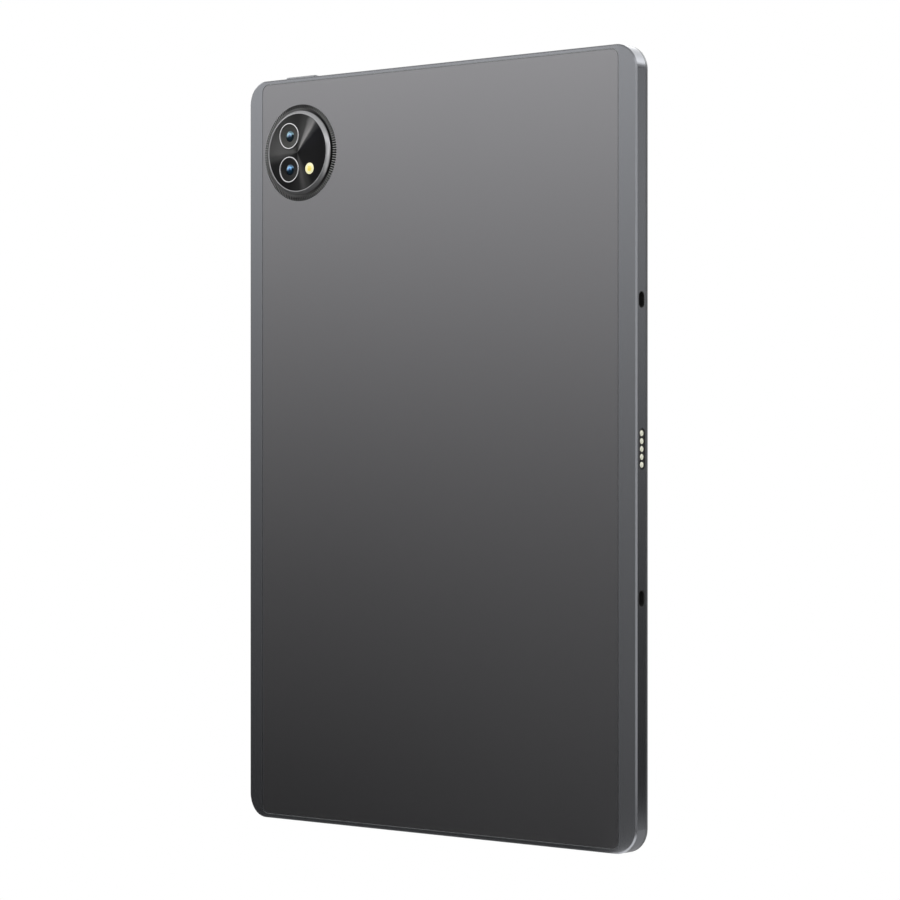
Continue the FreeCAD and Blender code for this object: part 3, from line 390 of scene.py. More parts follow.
# Polyimide strip: copper lines run along it as a thin band of a wave across it.
def filmCircuit(place, look):
    lineEdge, seen, cloudScale, cloudDull, depth = (0.1, 0.5), 0.85, 0.4, 0.15, 0.012
    lines = place.axes()[look["across"]].wave(look["lines"]).fit(*lineEdge)
    cloud = place.noise(cloudScale, 3.0)
    film = cloud.tint(look["film"], look["filmDeep"])
    return coated(place, {
        "Base Color": (lines * seen).tint(film, look["copper"]),
        "Metallic": lines * 0.6, "Roughness": 0.34 + cloud * cloudDull}, lines, depth)


# Overlapping flakes: stretched cells at two sizes give tone, relief and uneven shine.
def graphiteFilm(place, look):
    flakeStretch, flakeScale, fineScale, flakeDull, depth = (1.0, 1.0, 0.6), 1.4, 6.0, 0.2, 0.01
    flakes = place.stretched(flakeStretch).cells(flakeScale)
    both = flakes.shared(place.cells(fineScale), 0.6)
    return coated(place, {
        "Base Color": both.tint(look["tone"], look["deep"]), "Metallic": 0.6,
        "Roughness": 0.36 + flakes * flakeDull}, both, depth)


# Wire cloth: over-and-under is the product of two waves, the holes are where both are low; holes and wires
# passing under are darker as painted shade.
def wovenMesh(place, look):
    wireEdge, overShare, wireShine, depth = (0.55, 0.85), 0.4, 0.15, 0.05
    x, y, _ = place.axes()
    warp, weft = x.wave(look["wires"]), y.wave(look["wires"])
    wire = warp.calc("ABSOLUTE").calc("MAXIMUM", weft.calc("ABSOLUTE")).fit(*wireEdge)
    over = (warp * weft) * 0.5 + 0.5
    height = wire * (over * overShare + (1 - overShare))
    return coated(place, {
        "Base Color": height.tint(look["deep"], look["tone"]), "Metallic": 1.0,
        "Roughness": 0.5 - wire * wireShine}, height, depth)


# Foam or tape: open cells, darker at their sunken walls as painted shade, with a slow noise in the tone.
def cellFoam(place, look):
    wallEdge, cloudScale, wallDull = (0.0, 0.12), 0.3, 0.2
    walls = place.cells(look["cells"], "DISTANCE_TO_EDGE").fit(*wallEdge)
    cloud = place.noise(cloudScale, 3.0)
    return coated(place, {
        "Base Color": walls.shared(cloud, 0.6).tint(look["deep"], look["tone"]),
        "Roughness": 0.72 + walls * wallDull}, walls, look["relief"])


# Light guide: white printed dots that grow with the height, away from the lamps, on clear acrylic.
def dottedGuide(place, look):
    dotsPerMm, dotRadii, dotEdge, hazeScale, dotDull, depth = 0.8, (0.14, 0.36), 0.03, 0.05, 0.4, 0.006
    away = place.axes()[2].fit(0.0, look["length"], *dotRadii)
    dot = 1 - (cellDistance(place, dotsPerMm) - away).fit(-dotEdge, dotEdge)
    clear = place.noise(hazeScale, 3.0).tint(look["tone"], look["deep"])
    return coated(place, {
        "Base Color": dot.tint(clear, look["dot"]),
        "Roughness": 0.12 + dot * dotDull, "Coat Weight": 0.4,
        "Coat Roughness": 0.05}, dot, depth)


# Display cell: fine row-and-column grid over a silvery polariser with a slow colour drift.
def panelBack(place, look):
    gridPerMm, driftScale, gridDull, depth = 2.5, 0.02, 0.08, 0.002
    x, _, z = place.axes()
    grid = (x.wave(gridPerMm) * z.wave(gridPerMm)) * 0.5 + 0.5
    drift = place.noise(driftScale)
    return coated(place, {
        "Base Color": grid.shared(drift, 0.3).tint(look["tone"], look["deep"]),
        "Metallic": 0.4, "Roughness": 0.2 + grid * gridDull}, grid, depth)


# Chip body: matt moulding compound with glints of filler and faint patches of fine hatching.
def mouldedChip(place, look):
    grainScale, glintScale, glintEdge, grainDull, depth = 7.0, 5.0, (0.02, 0.07), 0.2, 0.008
    hatchPerMm, hatchEdge, patchScale, patchFrom, hatchSeen = 3.0, (0.6, 0.9), 0.2, 0.55, 0.5
    grain = place.noise(grainScale, 3.0)
    glint = 1 - place.cells(glintScale).fit(*glintEdge)
    x, _, z = place.axes()
    hatch = (x.wave(hatchPerMm) * z.wave(hatchPerMm)).fit(*hatchEdge)
    region = (place.noise(patchScale, 1.0) > patchFrom) * hatch
    tone = glint.tint(grain.tint(look["tone"], look["deep"]), look["glint"])
    return coated(place, {
        "Base Color": (region * hatchSeen).tint(tone, look["glint"]),
        "Roughness": 0.55 + grain * grainDull}, grain, depth)


# Plated contact: wiping scratches along the length, and worn spots from a wider noise.
def goldContact(place, look):
    spotScale, wipeDull, depth = 0.9, 0.12, 0.004
    wipe = place.stretched(look["stretch"]).noise(1.0, 4.0, 0.6)
    spot = place.noise(spotScale)
    return coated(place, {
        "Base Color": wipe.shared(spot, 0.6).tint(look["tone"], look["deep"]),
        "Metallic": look["metal"], "Roughness": look["roughness"] + wipe * wipeDull}, wipe, depth)


rearWay = np.array([[1, 0, 0], [0, 0, 1], [0, 1, 0]], float)      # across, up, outwards for a rear piece
sideWay = np.array([[0, 1, 0], [0, 0, 1], [-1, 0, 0]], float)     # the same for a piece on the dock side


# Closed outline with each corner C swapped for a curve (1-t)^2 A + 2t(1-t) C + t^2 B, where A and B
# lie on its two edges at the radius from it, or nearer on a short edge.
def eased(corners, radius, steps):
    here = np.asarray(corners, float)
    before, after = np.roll(here, 1, 0) - here, np.roll(here, -1, 0) - here
    nearly = 0.45                   # the longest curve, as a share of its edge
    reach = lambda edge: np.minimum(radius / np.linalg.norm(edge, axis=1), nearly)[:, None]
    first, last = here + before * reach(before), here + after * reach(after)
    t = np.linspace(0, 1, steps)[None, :, None]
    curve = (1 - t) ** 2 * first[:, None] + 2 * t * (1 - t) * here[:, None] + t ** 2 * last[:, None]
    return curve.reshape(-1, 2)


# A profile of (radius, height) points carried round an axis: a point is the centre, plus r cos a across,
# plus r sin a up, plus h outwards. alter(r, h, a) may wave the radius and height with the angle.
def turned(profile, centre, way, turns, closed=True, alter=None):
    outline = np.asarray(profile, float) * mm
    angle = np.linspace(0, fullTurn, turns, endpoint=False)[:, None]
    radius, height = (np.broadcast_to(outline[:, k], (turns, len(outline))) for k in (0, 1))
    if alter:
        radius, height = alter(radius, height, angle)
    spot = (np.asarray(centre, float) + (radius * np.cos(angle))[..., None] * way[0]
            + (radius * np.sin(angle))[..., None] * way[1] + height[..., None] * way[2])
    count = len(outline)
    around, along = np.arange(turns)[:, None], np.arange(count if closed else count - 1)[None, :]
    nextAround, nextAlong = (around + 1) % turns, (along + 1) % count
    faces = np.stack([around * count + along, around * count + nextAlong,
                      nextAround * count + nextAlong, nextAround * count + along], -1)
    return spot.reshape(-1, 3), faces.reshape(-1, 4)


# Several point-and-face sets as one, each set's faces counted on from the last one's points.
def together(parts):
    starts = np.cumsum([0] + [len(points) for points, faces in parts[:-1]])
    return (np.concatenate([points for points, faces in parts]),
            np.concatenate([faces + start for (points, faces), start in zip(parts, starts)]))


def piece(name, shape, look, stands=(), body="tablet", sharp=32):
    points, faces = shape
    mesh = bpy.data.meshes.new(name)
    mesh.from_pydata(points, [], faces.tolist())
    mesh.materials.append(look)
    work = bmesh.new()
    work.from_mesh(mesh)
    bmesh.ops.remove_doubles(work, verts=work.verts, dist=1e-7)
    bmesh.ops.dissolve_degenerate(work, edges=work.edges, dist=1e-8)
    bmesh.ops.recalc_face_normals(work, faces=work.faces)
    work.to_mesh(mesh)
    work.free()
    mesh.polygons.foreach_set("use_smooth", np.ones(len(mesh.polygons), bool))
    mesh.set_sharp_from_angle(angle=math.radians(sharp))
    made = bpy.data.objects.new(name, mesh)
    bpy.context.scene.collection.objects.link(made)
    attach(made, body)
    if stands:
        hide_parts(*stands)


def middle(name):
    low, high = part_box(name)
    return (low + high) / 2


# The outer and inner Y levels of a rear piece, in millimetres.
def level(name):
    low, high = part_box(name)
    return low.y / mm, high.y / mm


bandDeep = (0.256, 0.263, 0.280)
# dull share of the plate and the band, towards -X near the rear face: painted light
platePaintedLight = {"haze": 0.09, "hazeSpan": (-84.0, 84.0), "hazeDepth": (3.0, 3.1)}
bandPaintedLight = {"haze": 0.22, "hazeSpan": (60.0, 78.0), "hazeDepth": (3.1, 3.2)}
shell = (
    ("blastedPlate", (0.264, 0.262, 0.272), (0.248, 0.247, 0.256), 0.26, 5.0, 0.05, 0.0008, platePaintedLight,
     ("rear_plate",)),
    ("blastedBand", (0.275, 0.282, 0.300), bandDeep, 0.26, 5.0, 0.05, 0.0008, bandPaintedLight, ("mid_frame",)),
    ("blastedKey", (0.30, 0.305, 0.315), bandDeep, 0.30, 7.0, 0.06, 0.002, {},
     ("power_button", "volume_rocker")),
    ("blastedTray", (0.275, 0.282, 0.300), bandDeep, 0.33, 6.0, 0.06, 0.0025, {}, ("card_tray",)),
    ("castDeck", (0.42, 0.42, 0.43), (0.32, 0.32, 0.33), 0.42, 2.2, 0.06, 0.012, {}, ("mid_plate",)),
)
for name, tone, deep, roughness, grain, patchy, relief, haze, dressed in shell:
    dress(material(name, blastedMetal, {"tone": tone, "deep": deep, "roughness": roughness, "grain": grain,
                                        "patchy": patchy, "relief": relief, **haze}), *dressed)
dress(material("mouldedBezel", sparkPlastic, {
    "tone": (0.235, 0.240, 0.245), "deep": (0.20, 0.205, 0.21), "pits": 7.0, "roughness": 0.30,
    "relief": 0.003,
    "metal": 0.85}), "front_bezel")
lowPlate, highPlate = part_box("rear_plate")
bead = {"gap": 0.3, "sunk": 0.07, "deep": 0.45, "corner": 2.5, "cornerSteps": 16, "round": 0.06,
        "roundSteps": 3}


# Rounded rectangle as a closed path, with the outward direction at each point: four quarter arcs
# centre + r (cos a, sin a), joined by straight runs.
def cornerPath(halfWidth, low, high, radius, steps):
    angle = np.linspace(0, math.pi / 2, steps)[None, :] + np.arange(4)[:, None] * math.pi / 2
    signX, signZ = np.array([1, -1, -1, 1]), np.array([1, 1, -1, -1])
    centres = np.stack([signX * (halfWidth - radius),
                        (low + high) / 2 + signZ * ((high - low) / 2 - radius)], -1)
    out = np.stack([np.cos(angle), np.sin(angle)], -1)
    return (centres[:, None] + radius * out).reshape(-1, 2), out.reshape(-1, 2)


# Seal in the hairline groove: an eased rectangle carried round the rear plate's outline.
def beadShape(size):
    half = size["gap"] / 2
    outline = eased([(-half, -size["deep"]), (half, -size["deep"]), (half, -size["sunk"]),
                     (-half, -size["sunk"])], size["round"], size["roundSteps"])
    path, out = cornerPath(highPlate.x / mm + half, lowPlate.z / mm - half, highPlate.z / mm + half,
                           size["corner"] + half, size["cornerSteps"])
    flat = path[:, None] + out[:, None] * outline[None, :, :1]
    height = np.broadcast_to(highPlate.y / mm + outline[:, 1], flat.shape[:2])
    points = np.stack([flat[..., 0], height, flat[..., 1]], -1) * mm
    along, count = np.arange(len(path))[:, None], len(outline)
    across = np.arange(count)[None, :]
    after, beside = (along + 1) % len(path), (across + 1) % count
    faces = np.stack([along * count + across, along * count + beside, after * count + beside,
                      after * count + across], -1)
    return points.reshape(-1, 3), faces.reshape(-1, 4)


piece("grooveSeal", beadShape(bead), material("grooveSeal", blastedMetal, {
    "tone": (0.25, 0.26, 0.265), "deep": (0.22, 0.225, 0.23), "roughness": 0.30, "grain": 8.0,
    "patchy": 0.06, "relief": 0.002}))
print("body shell dressed")


lowGlass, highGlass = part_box("cover_glass")
lowPanel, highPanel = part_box("lcd_panel")
selfie, sensor = middle("front_camera"), middle("light_sensor")
glassMiddle = (lowGlass.z + highGlass.z) / 2
inactive = 0.4                  # how far the dark edge of the panel reaches in, in millimetres
screen = {
    "middle": glassMiddle / mm, "halfX": highPanel.x / mm - inactive,
    "halfZ": (highPanel.z - lowPanel.z) / 2 / mm - inactive,
    "corner": 3.0, "pitch": 2.5, "tone": (0.01, 0.01, 0.01),
    "print": (0.004, 0.004, 0.0045), "panel": (0.0085, 0.009, 0.0115),
    "panelDeep": (0.007, 0.0073, 0.0095),
    "camera": (selfie.x / mm, (selfie.z - glassMiddle) / mm), "cameraRadius": 1.6,
    "iris": ((0.0, (0.0, 0.0, 0.0)), (0.22, (0.004, 0.005, 0.010)), (0.34, (0.02, 0.035, 0.09)),
             (0.5, (0.008, 0.008, 0.02)), (0.62, (0.02, 0.02, 0.022)), (0.9, (0.012, 0.012, 0.013)),
             (1.0, (0.05, 0.05, 0.052))),
    "sensor": (sensor.x / mm, (sensor.z - glassMiddle) / mm), "sensorRadius": 0.9,
    "sensorTone": (0.012, 0.006, 0.012),
}
dress(material("screenGlass", screenGlass, screen), "cover_glass")
dress(material("panelBack", panelBack, {"tone": (0.50, 0.51, 0.53), "deep": (0.36, 0.37, 0.40)}),
      "lcd_panel")
dress(material("dottedGuide", dottedGuide, {
    "tone": (0.80, 0.82, 0.84), "deep": (0.72, 0.75, 0.78), "dot": (0.95, 0.95, 0.95),
    "length": 250.0}), "light_guide")
dress(material("gasketFoam", cellFoam, {
    "tone": (0.05, 0.05, 0.052), "deep": (0.02, 0.02, 0.02), "cells": 4.0, "relief": 0.03}),
    "glass_gasket")
dress(material("blackTape", cellFoam, {
    "tone": (0.035, 0.035, 0.037), "deep": (0.02, 0.02, 0.021), "cells": 2.2, "relief": 0.01}),
    "plate_tape", "battery_tapes")
print("screen dressed")


discCentre = middle("camera_disc")
lowRim, highRim = level("polished_rim")
lowKnurl, highKnurl = level("knurled_ring")
lensLow, lensHigh = level("lens_ring_upper")
island = {
    "turns": 256, "rimInner": 13.22, "rimOuter": 14.55, "rimRound": 0.26, "rimShoulder": 0.75,
    "rimCrown": 0.30, "rimDrop": 0.12, "rimSteps": 6,
    "knurlInner": 14.6, "knurlOuter": 16.70, "knurlTop": 14.75, "teeth": 120, "samples": 8,
    "toothDepth": 0.34, "toothRise": 0.28, "toothStart": 0.34, "knurlEdge": 0.08,
    "toothGrowth": 4, "footGap": 0.04, "knurlRows": 9, "smoothWithin": 15.30,
    # turn round the ring from 9 o'clock, and the painted light and shade of its slope there
    "slope": ((0.0, 0.14), (0.22, 0.17), (0.33, 0.05), (0.42, 0.008), (0.58, 0.006), (0.66, 0.02),
              (0.76, 0.13), (1.0, 0.14)),
    # turn round the ring, and the painted highlight and shade of the crests there
    "crest": ((0.0, 0.80), (0.14, 0.66), (0.23, 0.22), (0.30, 0.30), (0.40, 0.48), (0.55, 0.50),
    (0.66, 0.40),
              (0.72, 0.15), (0.80, 0.16), (0.88, 0.62), (1.0, 0.80)),
    # turn round the disc from 9 o'clock, and the colour there: painted reflection wedges
    "fan": ((0.0, (0.125, 0.125, 0.124)), (0.018, (0.075, 0.075, 0.075)), (0.060, (0.018, 0.018, 0.019)),
            (0.20, (0.014, 0.014, 0.015)), (0.255, (0.028, 0.028, 0.029)), (0.290, (0.095, 0.093, 0.094)),
            (0.315, (0.055, 0.055, 0.055)), (0.350, (0.014, 0.014, 0.015)), (0.50, (0.012, 0.012, 0.013)),
            (0.600, (0.014, 0.014, 0.017)), (0.628, (0.070, 0.070, 0.072)), (0.648, (0.38, 0.37, 0.37)),
            (0.664, (0.30, 0.30, 0.30)), (0.692, (0.075, 0.075, 0.075)), (0.75, (0.040, 0.040, 0.040)),
            (0.86, (0.075, 0.076, 0.074)), (0.96, (0.12, 0.12, 0.12)), (1.0, (0.125, 0.125, 0.124))),
}


# Outline of the polished rim: a foot in the plate, a short outer wall, a broad slope up to a narrow
# crown and an inner edge down to the glass.
def rimProfile(size):
    inner, outer = size["rimInner"], size["rimOuter"]
    corners = [(inner, lowRim), (outer, lowRim), (outer, lowKnurl + size["rimShoulder"]),
               (inner + size["rimCrown"], highRim), (inner, highRim - size["rimDrop"])]
    return eased(corners, size["rimRound"], size["rimSteps"])


# Teeth on the sloping face: radius and height drop by a triangle wave of the angle, weighted by how
# far the point is from the ring's inner edge and its foot.
def toothed(size):
    inner, outer = size["knurlTop"] * mm, size["knurlOuter"] * mm
    foot, tiny = lowKnurl * mm, 1e-6

    def alter(radius, height, angle):
        share = np.clip((radius - inner) / (outer - inner), 0, 1)
        wave = np.abs((angle * size["teeth"] / fullTurn) % 1.0 * 2 - 1)
        grown = np.clip((share - size["toothStart"]) * size["toothGrowth"], 0, 1)
        weight = np.where(height > foot + tiny, grown, 0)
        fall = np.minimum(wave * size["toothDepth"] * mm * weight,
                          np.maximum(height - foot - size["footGap"] * mm, 0))
        return radius - wave * size["toothRise"] * mm * weight * share, height - fall
    return alter


# Outline of the knurled ring: foot, short outer wall, long slope in eight spans, flat and inner wall.
def knurlProfile(size):
    slope = np.stack([np.linspace(size["knurlOuter"], size["knurlTop"], size["knurlRows"]),
                      np.linspace(lowKnurl + size["knurlEdge"], highKnurl, size["knurlRows"])], -1)
    return np.concatenate([[(size["knurlInner"], lowKnurl), (size["knurlOuter"], lowKnurl)], slope,
                           [(size["knurlInner"], highKnurl)]])


rimLook = material("polishedRim", turnedMetal, {
    "centre": discCentre, "tone": (0.52, 0.52, 0.53), "deep": (0.46, 0.46, 0.47), "roughness": 0.20,
    "metal": 0.58, "marks": 6.0, "relief": 0.0012})
# Knurled ring: its black roots are painted shade; its slope and crest tones are painted light and shade.
knurlLook = material("knurledMetal", toothedMetal, {
    "centre": discCentre, "teeth": island["teeth"], "start": island["smoothWithin"],
    "slope": island["slope"],
    "crest": island["crest"], "deep": (0.002, 0.002, 0.002), "metal": 0.08, "roughness": 0.40,
    "tone": (0.07, 0.07, 0.07)})
axisPoint = (discCentre.x, 0.0, discCentre.z)
piece("polishedRim", turned(rimProfile(island), axisPoint, rearWay, island["turns"]), rimLook,
      ["polished_rim"])
piece("knurledRing", turned(knurlProfile(island), axisPoint, rearWay, island["teeth"] * island["samples"],
                            alter=toothed(island)), knurlLook, ["knurled_ring"], sharp=24)
dress(material("paintedSunburstGlass", paintedSunburst, {
    "centre": discCentre, "rings": 5.0, "reach": 13.2, "fan": island["fan"],
    "tone": (0.03, 0.03, 0.03)}), "camera_disc")

lens = {
    "ringInner": 3.96, "ringOuter": 4.62, "ringRound": 0.26, "ringSteps": 5, "turns": 144,
    "edge": 0.14, "outerDrop": 0.10, "innerDrop": 0.12,
    # radius, and height from the top of the ring
    "hood": ((0.0, -0.80), (3.94, -0.80), (3.94, -0.14), (3.82, -0.16), (3.76, -0.21), (3.40, -0.22),
             (3.33, -0.28), (2.95, -0.29), (2.88, -0.36), (2.45, -0.37), (2.36, -0.44), (1.98, -0.45),
             (1.92, -0.60), (0.0, -0.60)),
    "domeRadius": 1.90, "domeLow": -0.62, "domeRise": 0.46, "domeRows": 20, "domeWall": 0.03,
    # share of the dome's radius, and the painted coating reflection colour there
    "coatsUpper": ((0.0, (0.03, 0.045, 0.08)), (0.26, (0.06, 0.12, 0.24)), (0.44, (0.16, 0.32, 0.42)),
                   (0.62, (0.05, 0.10, 0.14)), (0.80, (0.10, 0.24, 0.25)), (0.92, (0.09, 0.08, 0.18)),
                   (1.0, (0.03, 0.03, 0.04))),
    "coatsLower": ((0.0, (0.02, 0.03, 0.06)), (0.26, (0.03, 0.10, 0.28)), (0.44, (0.10, 0.32, 0.55)),
                   (0.62, (0.02, 0.06, 0.14)), (0.80, (0.05, 0.16, 0.24)), (0.92, (0.05, 0.05, 0.12)),
                   (1.0, (0.02, 0.02, 0.03))),
}


# Front element: height = wall + rise x (1 - share^2) over the radius, closed by a flat back.
def domeProfile(size):
    share = np.linspace(1, 0, size["domeRows"])
    foot = lensHigh + size["domeLow"]
    crown = np.stack([share * size["domeRadius"], foot + size["domeWall"]
                      + size["domeRise"] * (1 - share ** 2)], -1)
    return np.concatenate([[(0.0, foot), (size["domeRadius"], foot)], crown])


trimCorners = [(lens["ringInner"], lensLow), (lens["ringOuter"], lensLow),
               (lens["ringOuter"], lensHigh - lens["outerDrop"]),
               (lens["ringOuter"] - lens["edge"], lensHigh), (lens["ringInner"] + lens["edge"], lensHigh),
               (lens["ringInner"], lensHigh - lens["innerDrop"])]
hoodOutline = np.asarray(lens["hood"]) + [0.0, lensHigh]
barrel = {"tone": (0.04, 0.04, 0.042), "ribs": 3.0, "roughness": 0.4, "gloss": 0.2}
hoodDeep = 0.45                 # share of the hood's tone that is left between its ribs
for which, coats, hoodTone, gloss in (("upper", lens["coatsUpper"], (0.070, 0.072, 0.064), 0.4),
                                      ("lower", lens["coatsLower"], (0.008, 0.008, 0.008), 0.05)):
    centre = middle("lens_ring_" + which)
    spot = (centre.x, 0.0, centre.z)
    trimLook = material("lensTrim_" + which, turnedMetal, {
        "centre": centre, "tone": (0.55, 0.55, 0.56), "deep": (0.46, 0.46, 0.47), "roughness": 0.14,
        "metal": 1.0, "marks": 9.0, "relief": 0.001})
    hoodLook = material("lensHood_" + which, ribbedBlack, {
        "centre": centre, "tone": hoodTone, "deep": tuple(hoodDeep * c for c in hoodTone), "ribs": 4.0,
        "roughness": 0.34, "gloss": gloss})
    glassLook = material("lensCoatReflection_" + which, coatReflectionLens, {
        "centre": centre, "reach": lens["domeRadius"], "coats": coats, "swirl": 0.9,
        "tone": (0.05, 0.1, 0.2)})
    piece("lensTrim_" + which, turned(eased(trimCorners, lens["ringRound"], lens["ringSteps"]), spot,
                                      rearWay, lens["turns"]),
          trimLook, ["lens_ring_" + which])
    piece("lensHood_" + which, turned(hoodOutline, spot, rearWay, lens["turns"], closed=False),
          hoodLook, sharp=20)
    piece("lensDome_" + which, turned(domeProfile(lens), spot, rearWay, lens["turns"], closed=False),
          glassLook, ["lens_glass_" + which])
    dress(material("barrel_" + which, ribbedBlack, {
        **barrel, "centre": centre, "deep": (0.015, 0.015, 0.015)}), "rear_camera_" + which)

flash = {"radius": 1.95, "ridges": 5, "rows": 40, "rise": 0.10, "turns": 128,
         "sunk": 0.05, "tooth": 0.06, "plain": 0.15, "edge": 0.06, "shoulder": 0.16}
flashCentre = middle("flash_window")
flashLow, flashHigh = level("flash_window")


# Stepped lens: height = crown falling with the square of the radius, less a sawtooth of the radius.
def flashProfile(size):
    share = np.linspace(1, 0, size["rows"])
    tooth = (share * size["ridges"]) % 1.0
    crown = (flashHigh - size["sunk"] - size["rise"] * share ** 2
             - size["tooth"] * tooth * (share > size["plain"]))
    top = np.stack([share * (size["radius"] - size["edge"]), crown], -1)
    return np.concatenate([[(0.0, flashLow), (size["radius"], flashLow),
                            (size["radius"], flashHigh - size["shoulder"])], top])


flashLook = material("flashLens", flashLens, {
    "centre": flashCentre, "cream": (0.95, 0.92, 0.58), "phosphor": (0.90, 0.74, 0.16), "glow": 0.42,
    "tone": (0.9, 0.85, 0.5)})
piece("flashLens", turned(flashProfile(flash), (flashCentre.x, 0.0, flashCentre.z), rearWay,
                          flash["turns"], closed=False),
      flashLook, ["flash_window"])
dress(material("phosphorChip", mouldedChip, {
    "tone": (0.85, 0.75, 0.25), "deep": (0.75, 0.62, 0.12), "glint": (0.95, 0.9, 0.6)}), "flash_emitter")
dress(material("selfieBarrel", ribbedBlack, {
    **barrel, "centre": (selfie.x, 0.0, selfie.z), "deep": (0.012, 0.012, 0.012)}), "front_camera")
print("camera island built")


dock = {"radius": 0.95, "rows": 10, "turns": 64, "count": 5,
        "domeRadius": 0.72, "domeRise": 0.16, "shank": 0.1,
        # depths below the tip, and how far the two edges of the shoulder stand in
        "end": 3.1, "shankTop": 0.5, "shoulder": 0.4, "shoulderTop": 0.14, "bevelTop": 0.09,
        "groove": 0.17,
        "bevelIn": 0.06, "flatIn": 0.16, "grooveIn": 0.2}
lowPins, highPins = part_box("dock_contacts")
pinLevel = (lowPins.y + highPins.y) / 2
pinHeights = np.linspace(lowPins.z + dock["radius"] * mm, highPins.z - dock["radius"] * mm, dock["count"])


# Spring contact: a shank, a shoulder ring, a groove and a dome of height (1 - share^2).
def pinProfile(size):
    tip, radius = -lowPins.x / mm, size["radius"]
    share = np.linspace(1, 0, size["rows"])
    dome = np.stack([share * size["domeRadius"],
                     tip - size["domeRise"] + size["domeRise"] * (1 - share ** 2)], -1)
    return np.concatenate([[(0.0, tip - size["end"]), (radius - size["shank"], tip - size["end"]),
                            (radius - size["shank"], tip - size["shankTop"]),
                            (radius, tip - size["shoulder"]), (radius, tip - size["shoulderTop"]),
                            (radius - size["bevelIn"], tip - size["bevelTop"]),
                            (radius - size["flatIn"], tip - size["bevelTop"]),
                            (radius - size["grooveIn"], tip - size["groove"])], dome])


pins = together([turned(pinProfile(dock), (0.0, pinLevel, height), sideWay, dock["turns"], closed=False)
                 for height in pinHeights])
goldLook = material("platedGold", goldContact, {
    "tone": (0.83, 0.62, 0.28), "deep": (0.66, 0.46, 0.18), "roughness": 0.20, "metal": 1.0,
    "stretch": (0.4, 2.0, 2.0)})
paleLook = material("paleGold", goldContact, {
    "tone": (0.97, 0.97, 0.84), "deep": (0.92, 0.91, 0.74), "roughness": 0.30, "metal": 0.05,
    "stretch": (0.4, 2.0, 2.0)})
piece("springContacts", pins, paleLook, ["dock_contacts"])
print("dock side built")


socket = {"count": 12, "pitch": 0.5, "width": 0.28, "length": 3.4, "rise": 0.02, "bevel": 0.05,
          "bevelSteps": 3, "start": 0.45, "sunk": 0.05}
lowTongue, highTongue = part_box("usb_tongue")


# Contact pads: each is an eased outline carried between two levels, repeated across and on both faces.
def padGrid(size):
    across = (np.arange(size["count"]) - (size["count"] - 1) / 2) * size["pitch"]
    half, start = size["width"] / 2, lowTongue.z / mm + size["start"]
    end = start + size["length"]
    outline = eased([(-half, start), (half, start), (half, end), (-half, end)], size["bevel"],
                    size["bevelSteps"])
    count, centre = len(outline), outline[:, 1].mean()
    parts = []
    for face, way in ((highTongue.y / mm, 1), (lowTongue.y / mm, -1)):
        top, bottom = face + size["rise"] * way, face - size["sunk"] * way
        ring = np.concatenate([np.insert(outline, 1, bottom, axis=1), np.insert(outline, 1, top, axis=1),
                               [[0.0, top, centre], [0.0, bottom, centre]]])
        here, after = np.arange(count), (np.arange(count) + 1) % count
        wall = np.stack([here, after, after + count, here + count], -1)
        roof = np.full(count, 2 * count)
        lid = np.stack([here + count, after + count, roof, roof], -1)
        floor = np.stack([after, here, roof + 1, roof + 1], -1)
        block = np.concatenate([wall, lid, floor])
        for shift in across:
            parts.append(((ring + [shift, 0.0, 0.0]) * mm, block))
    return together(parts)


piece("socketPads", padGrid(socket), goldLook)
print("charging socket built")


for name, tone, deep, roughness, stretch, relief, dressed in (
        ("rolledSteel", (0.52, 0.52, 0.53), (0.40, 0.40, 0.41), 0.26, (3.0, 3.0, 0.06), 0.004,
         ("display_tray", "camera_bracket", "card_reader", "eject_lever")),
        ("socketSteel", (0.62, 0.62, 0.63), (0.48, 0.48, 0.49), 0.22, (4.0, 4.0, 0.2), 0.003,
         ("usb_shell",)),
        ("screwSteel", (0.34, 0.34, 0.35), (0.24, 0.24, 0.25), 0.3, (2.0, 0.2, 2.0), 0.004,
         ("board_screws", "lever_pin"))):
    dress(material(name, rolledSteel, {"tone": tone, "deep": deep, "roughness": roughness,
                                       "stretch": stretch, "relief": relief}), *dressed)
boardLook = material("circuitBoard", circuitBoard, {
    "mask": (0.012, 0.050, 0.028), "trace": (0.030, 0.110, 0.050), "plating": (0.80, 0.58, 0.26),
    "hole": (0.01, 0.01, 0.01), "tone": (0.02, 0.08, 0.04)})
dress(boardLook, "main_board", "lower_board", "dock_board", "battery_guard_board")
for name, recipe, tone, deep, dressed in (
        ("shieldTin", embossedTin, (0.66, 0.66, 0.65), (0.50, 0.50, 0.49),
         ("shield_can_left", "shield_can_right")),
        ("pouchFoil", pouchFoil, (0.10, 0.105, 0.115), (0.055, 0.058, 0.065),
         ("battery_left", "battery_right")),
        ("graphiteFilm", graphiteFilm, (0.075, 0.075, 0.08), (0.03, 0.03, 0.032), ("graphite_sheet",))):
    dress(material(name, recipe, {"tone": tone, "deep": deep}), *dressed)
filmTones = {"film": (0.42, 0.20, 0.035), "filmDeep": (0.34, 0.15, 0.025), "copper": (0.62, 0.34, 0.14),
             "tone": (0.42, 0.20, 0.04)}
for name, across, lines in (("board_to_board_flex", 0, 1.2), ("dock_flex", 0, 2.0),
                            ("power_key_flex", 1, 1.6), ("side_key_flex", 1, 1.6)):
    dress(material("film_" + name, filmCircuit, {**filmTones, "across": across, "lines": lines}), name)
dress(material("wovenMesh", wovenMesh, {
    "tone": (0.30, 0.30, 0.31), "deep": (0.01, 0.01, 0.01), "wires": 4.0}), "speaker_meshes")
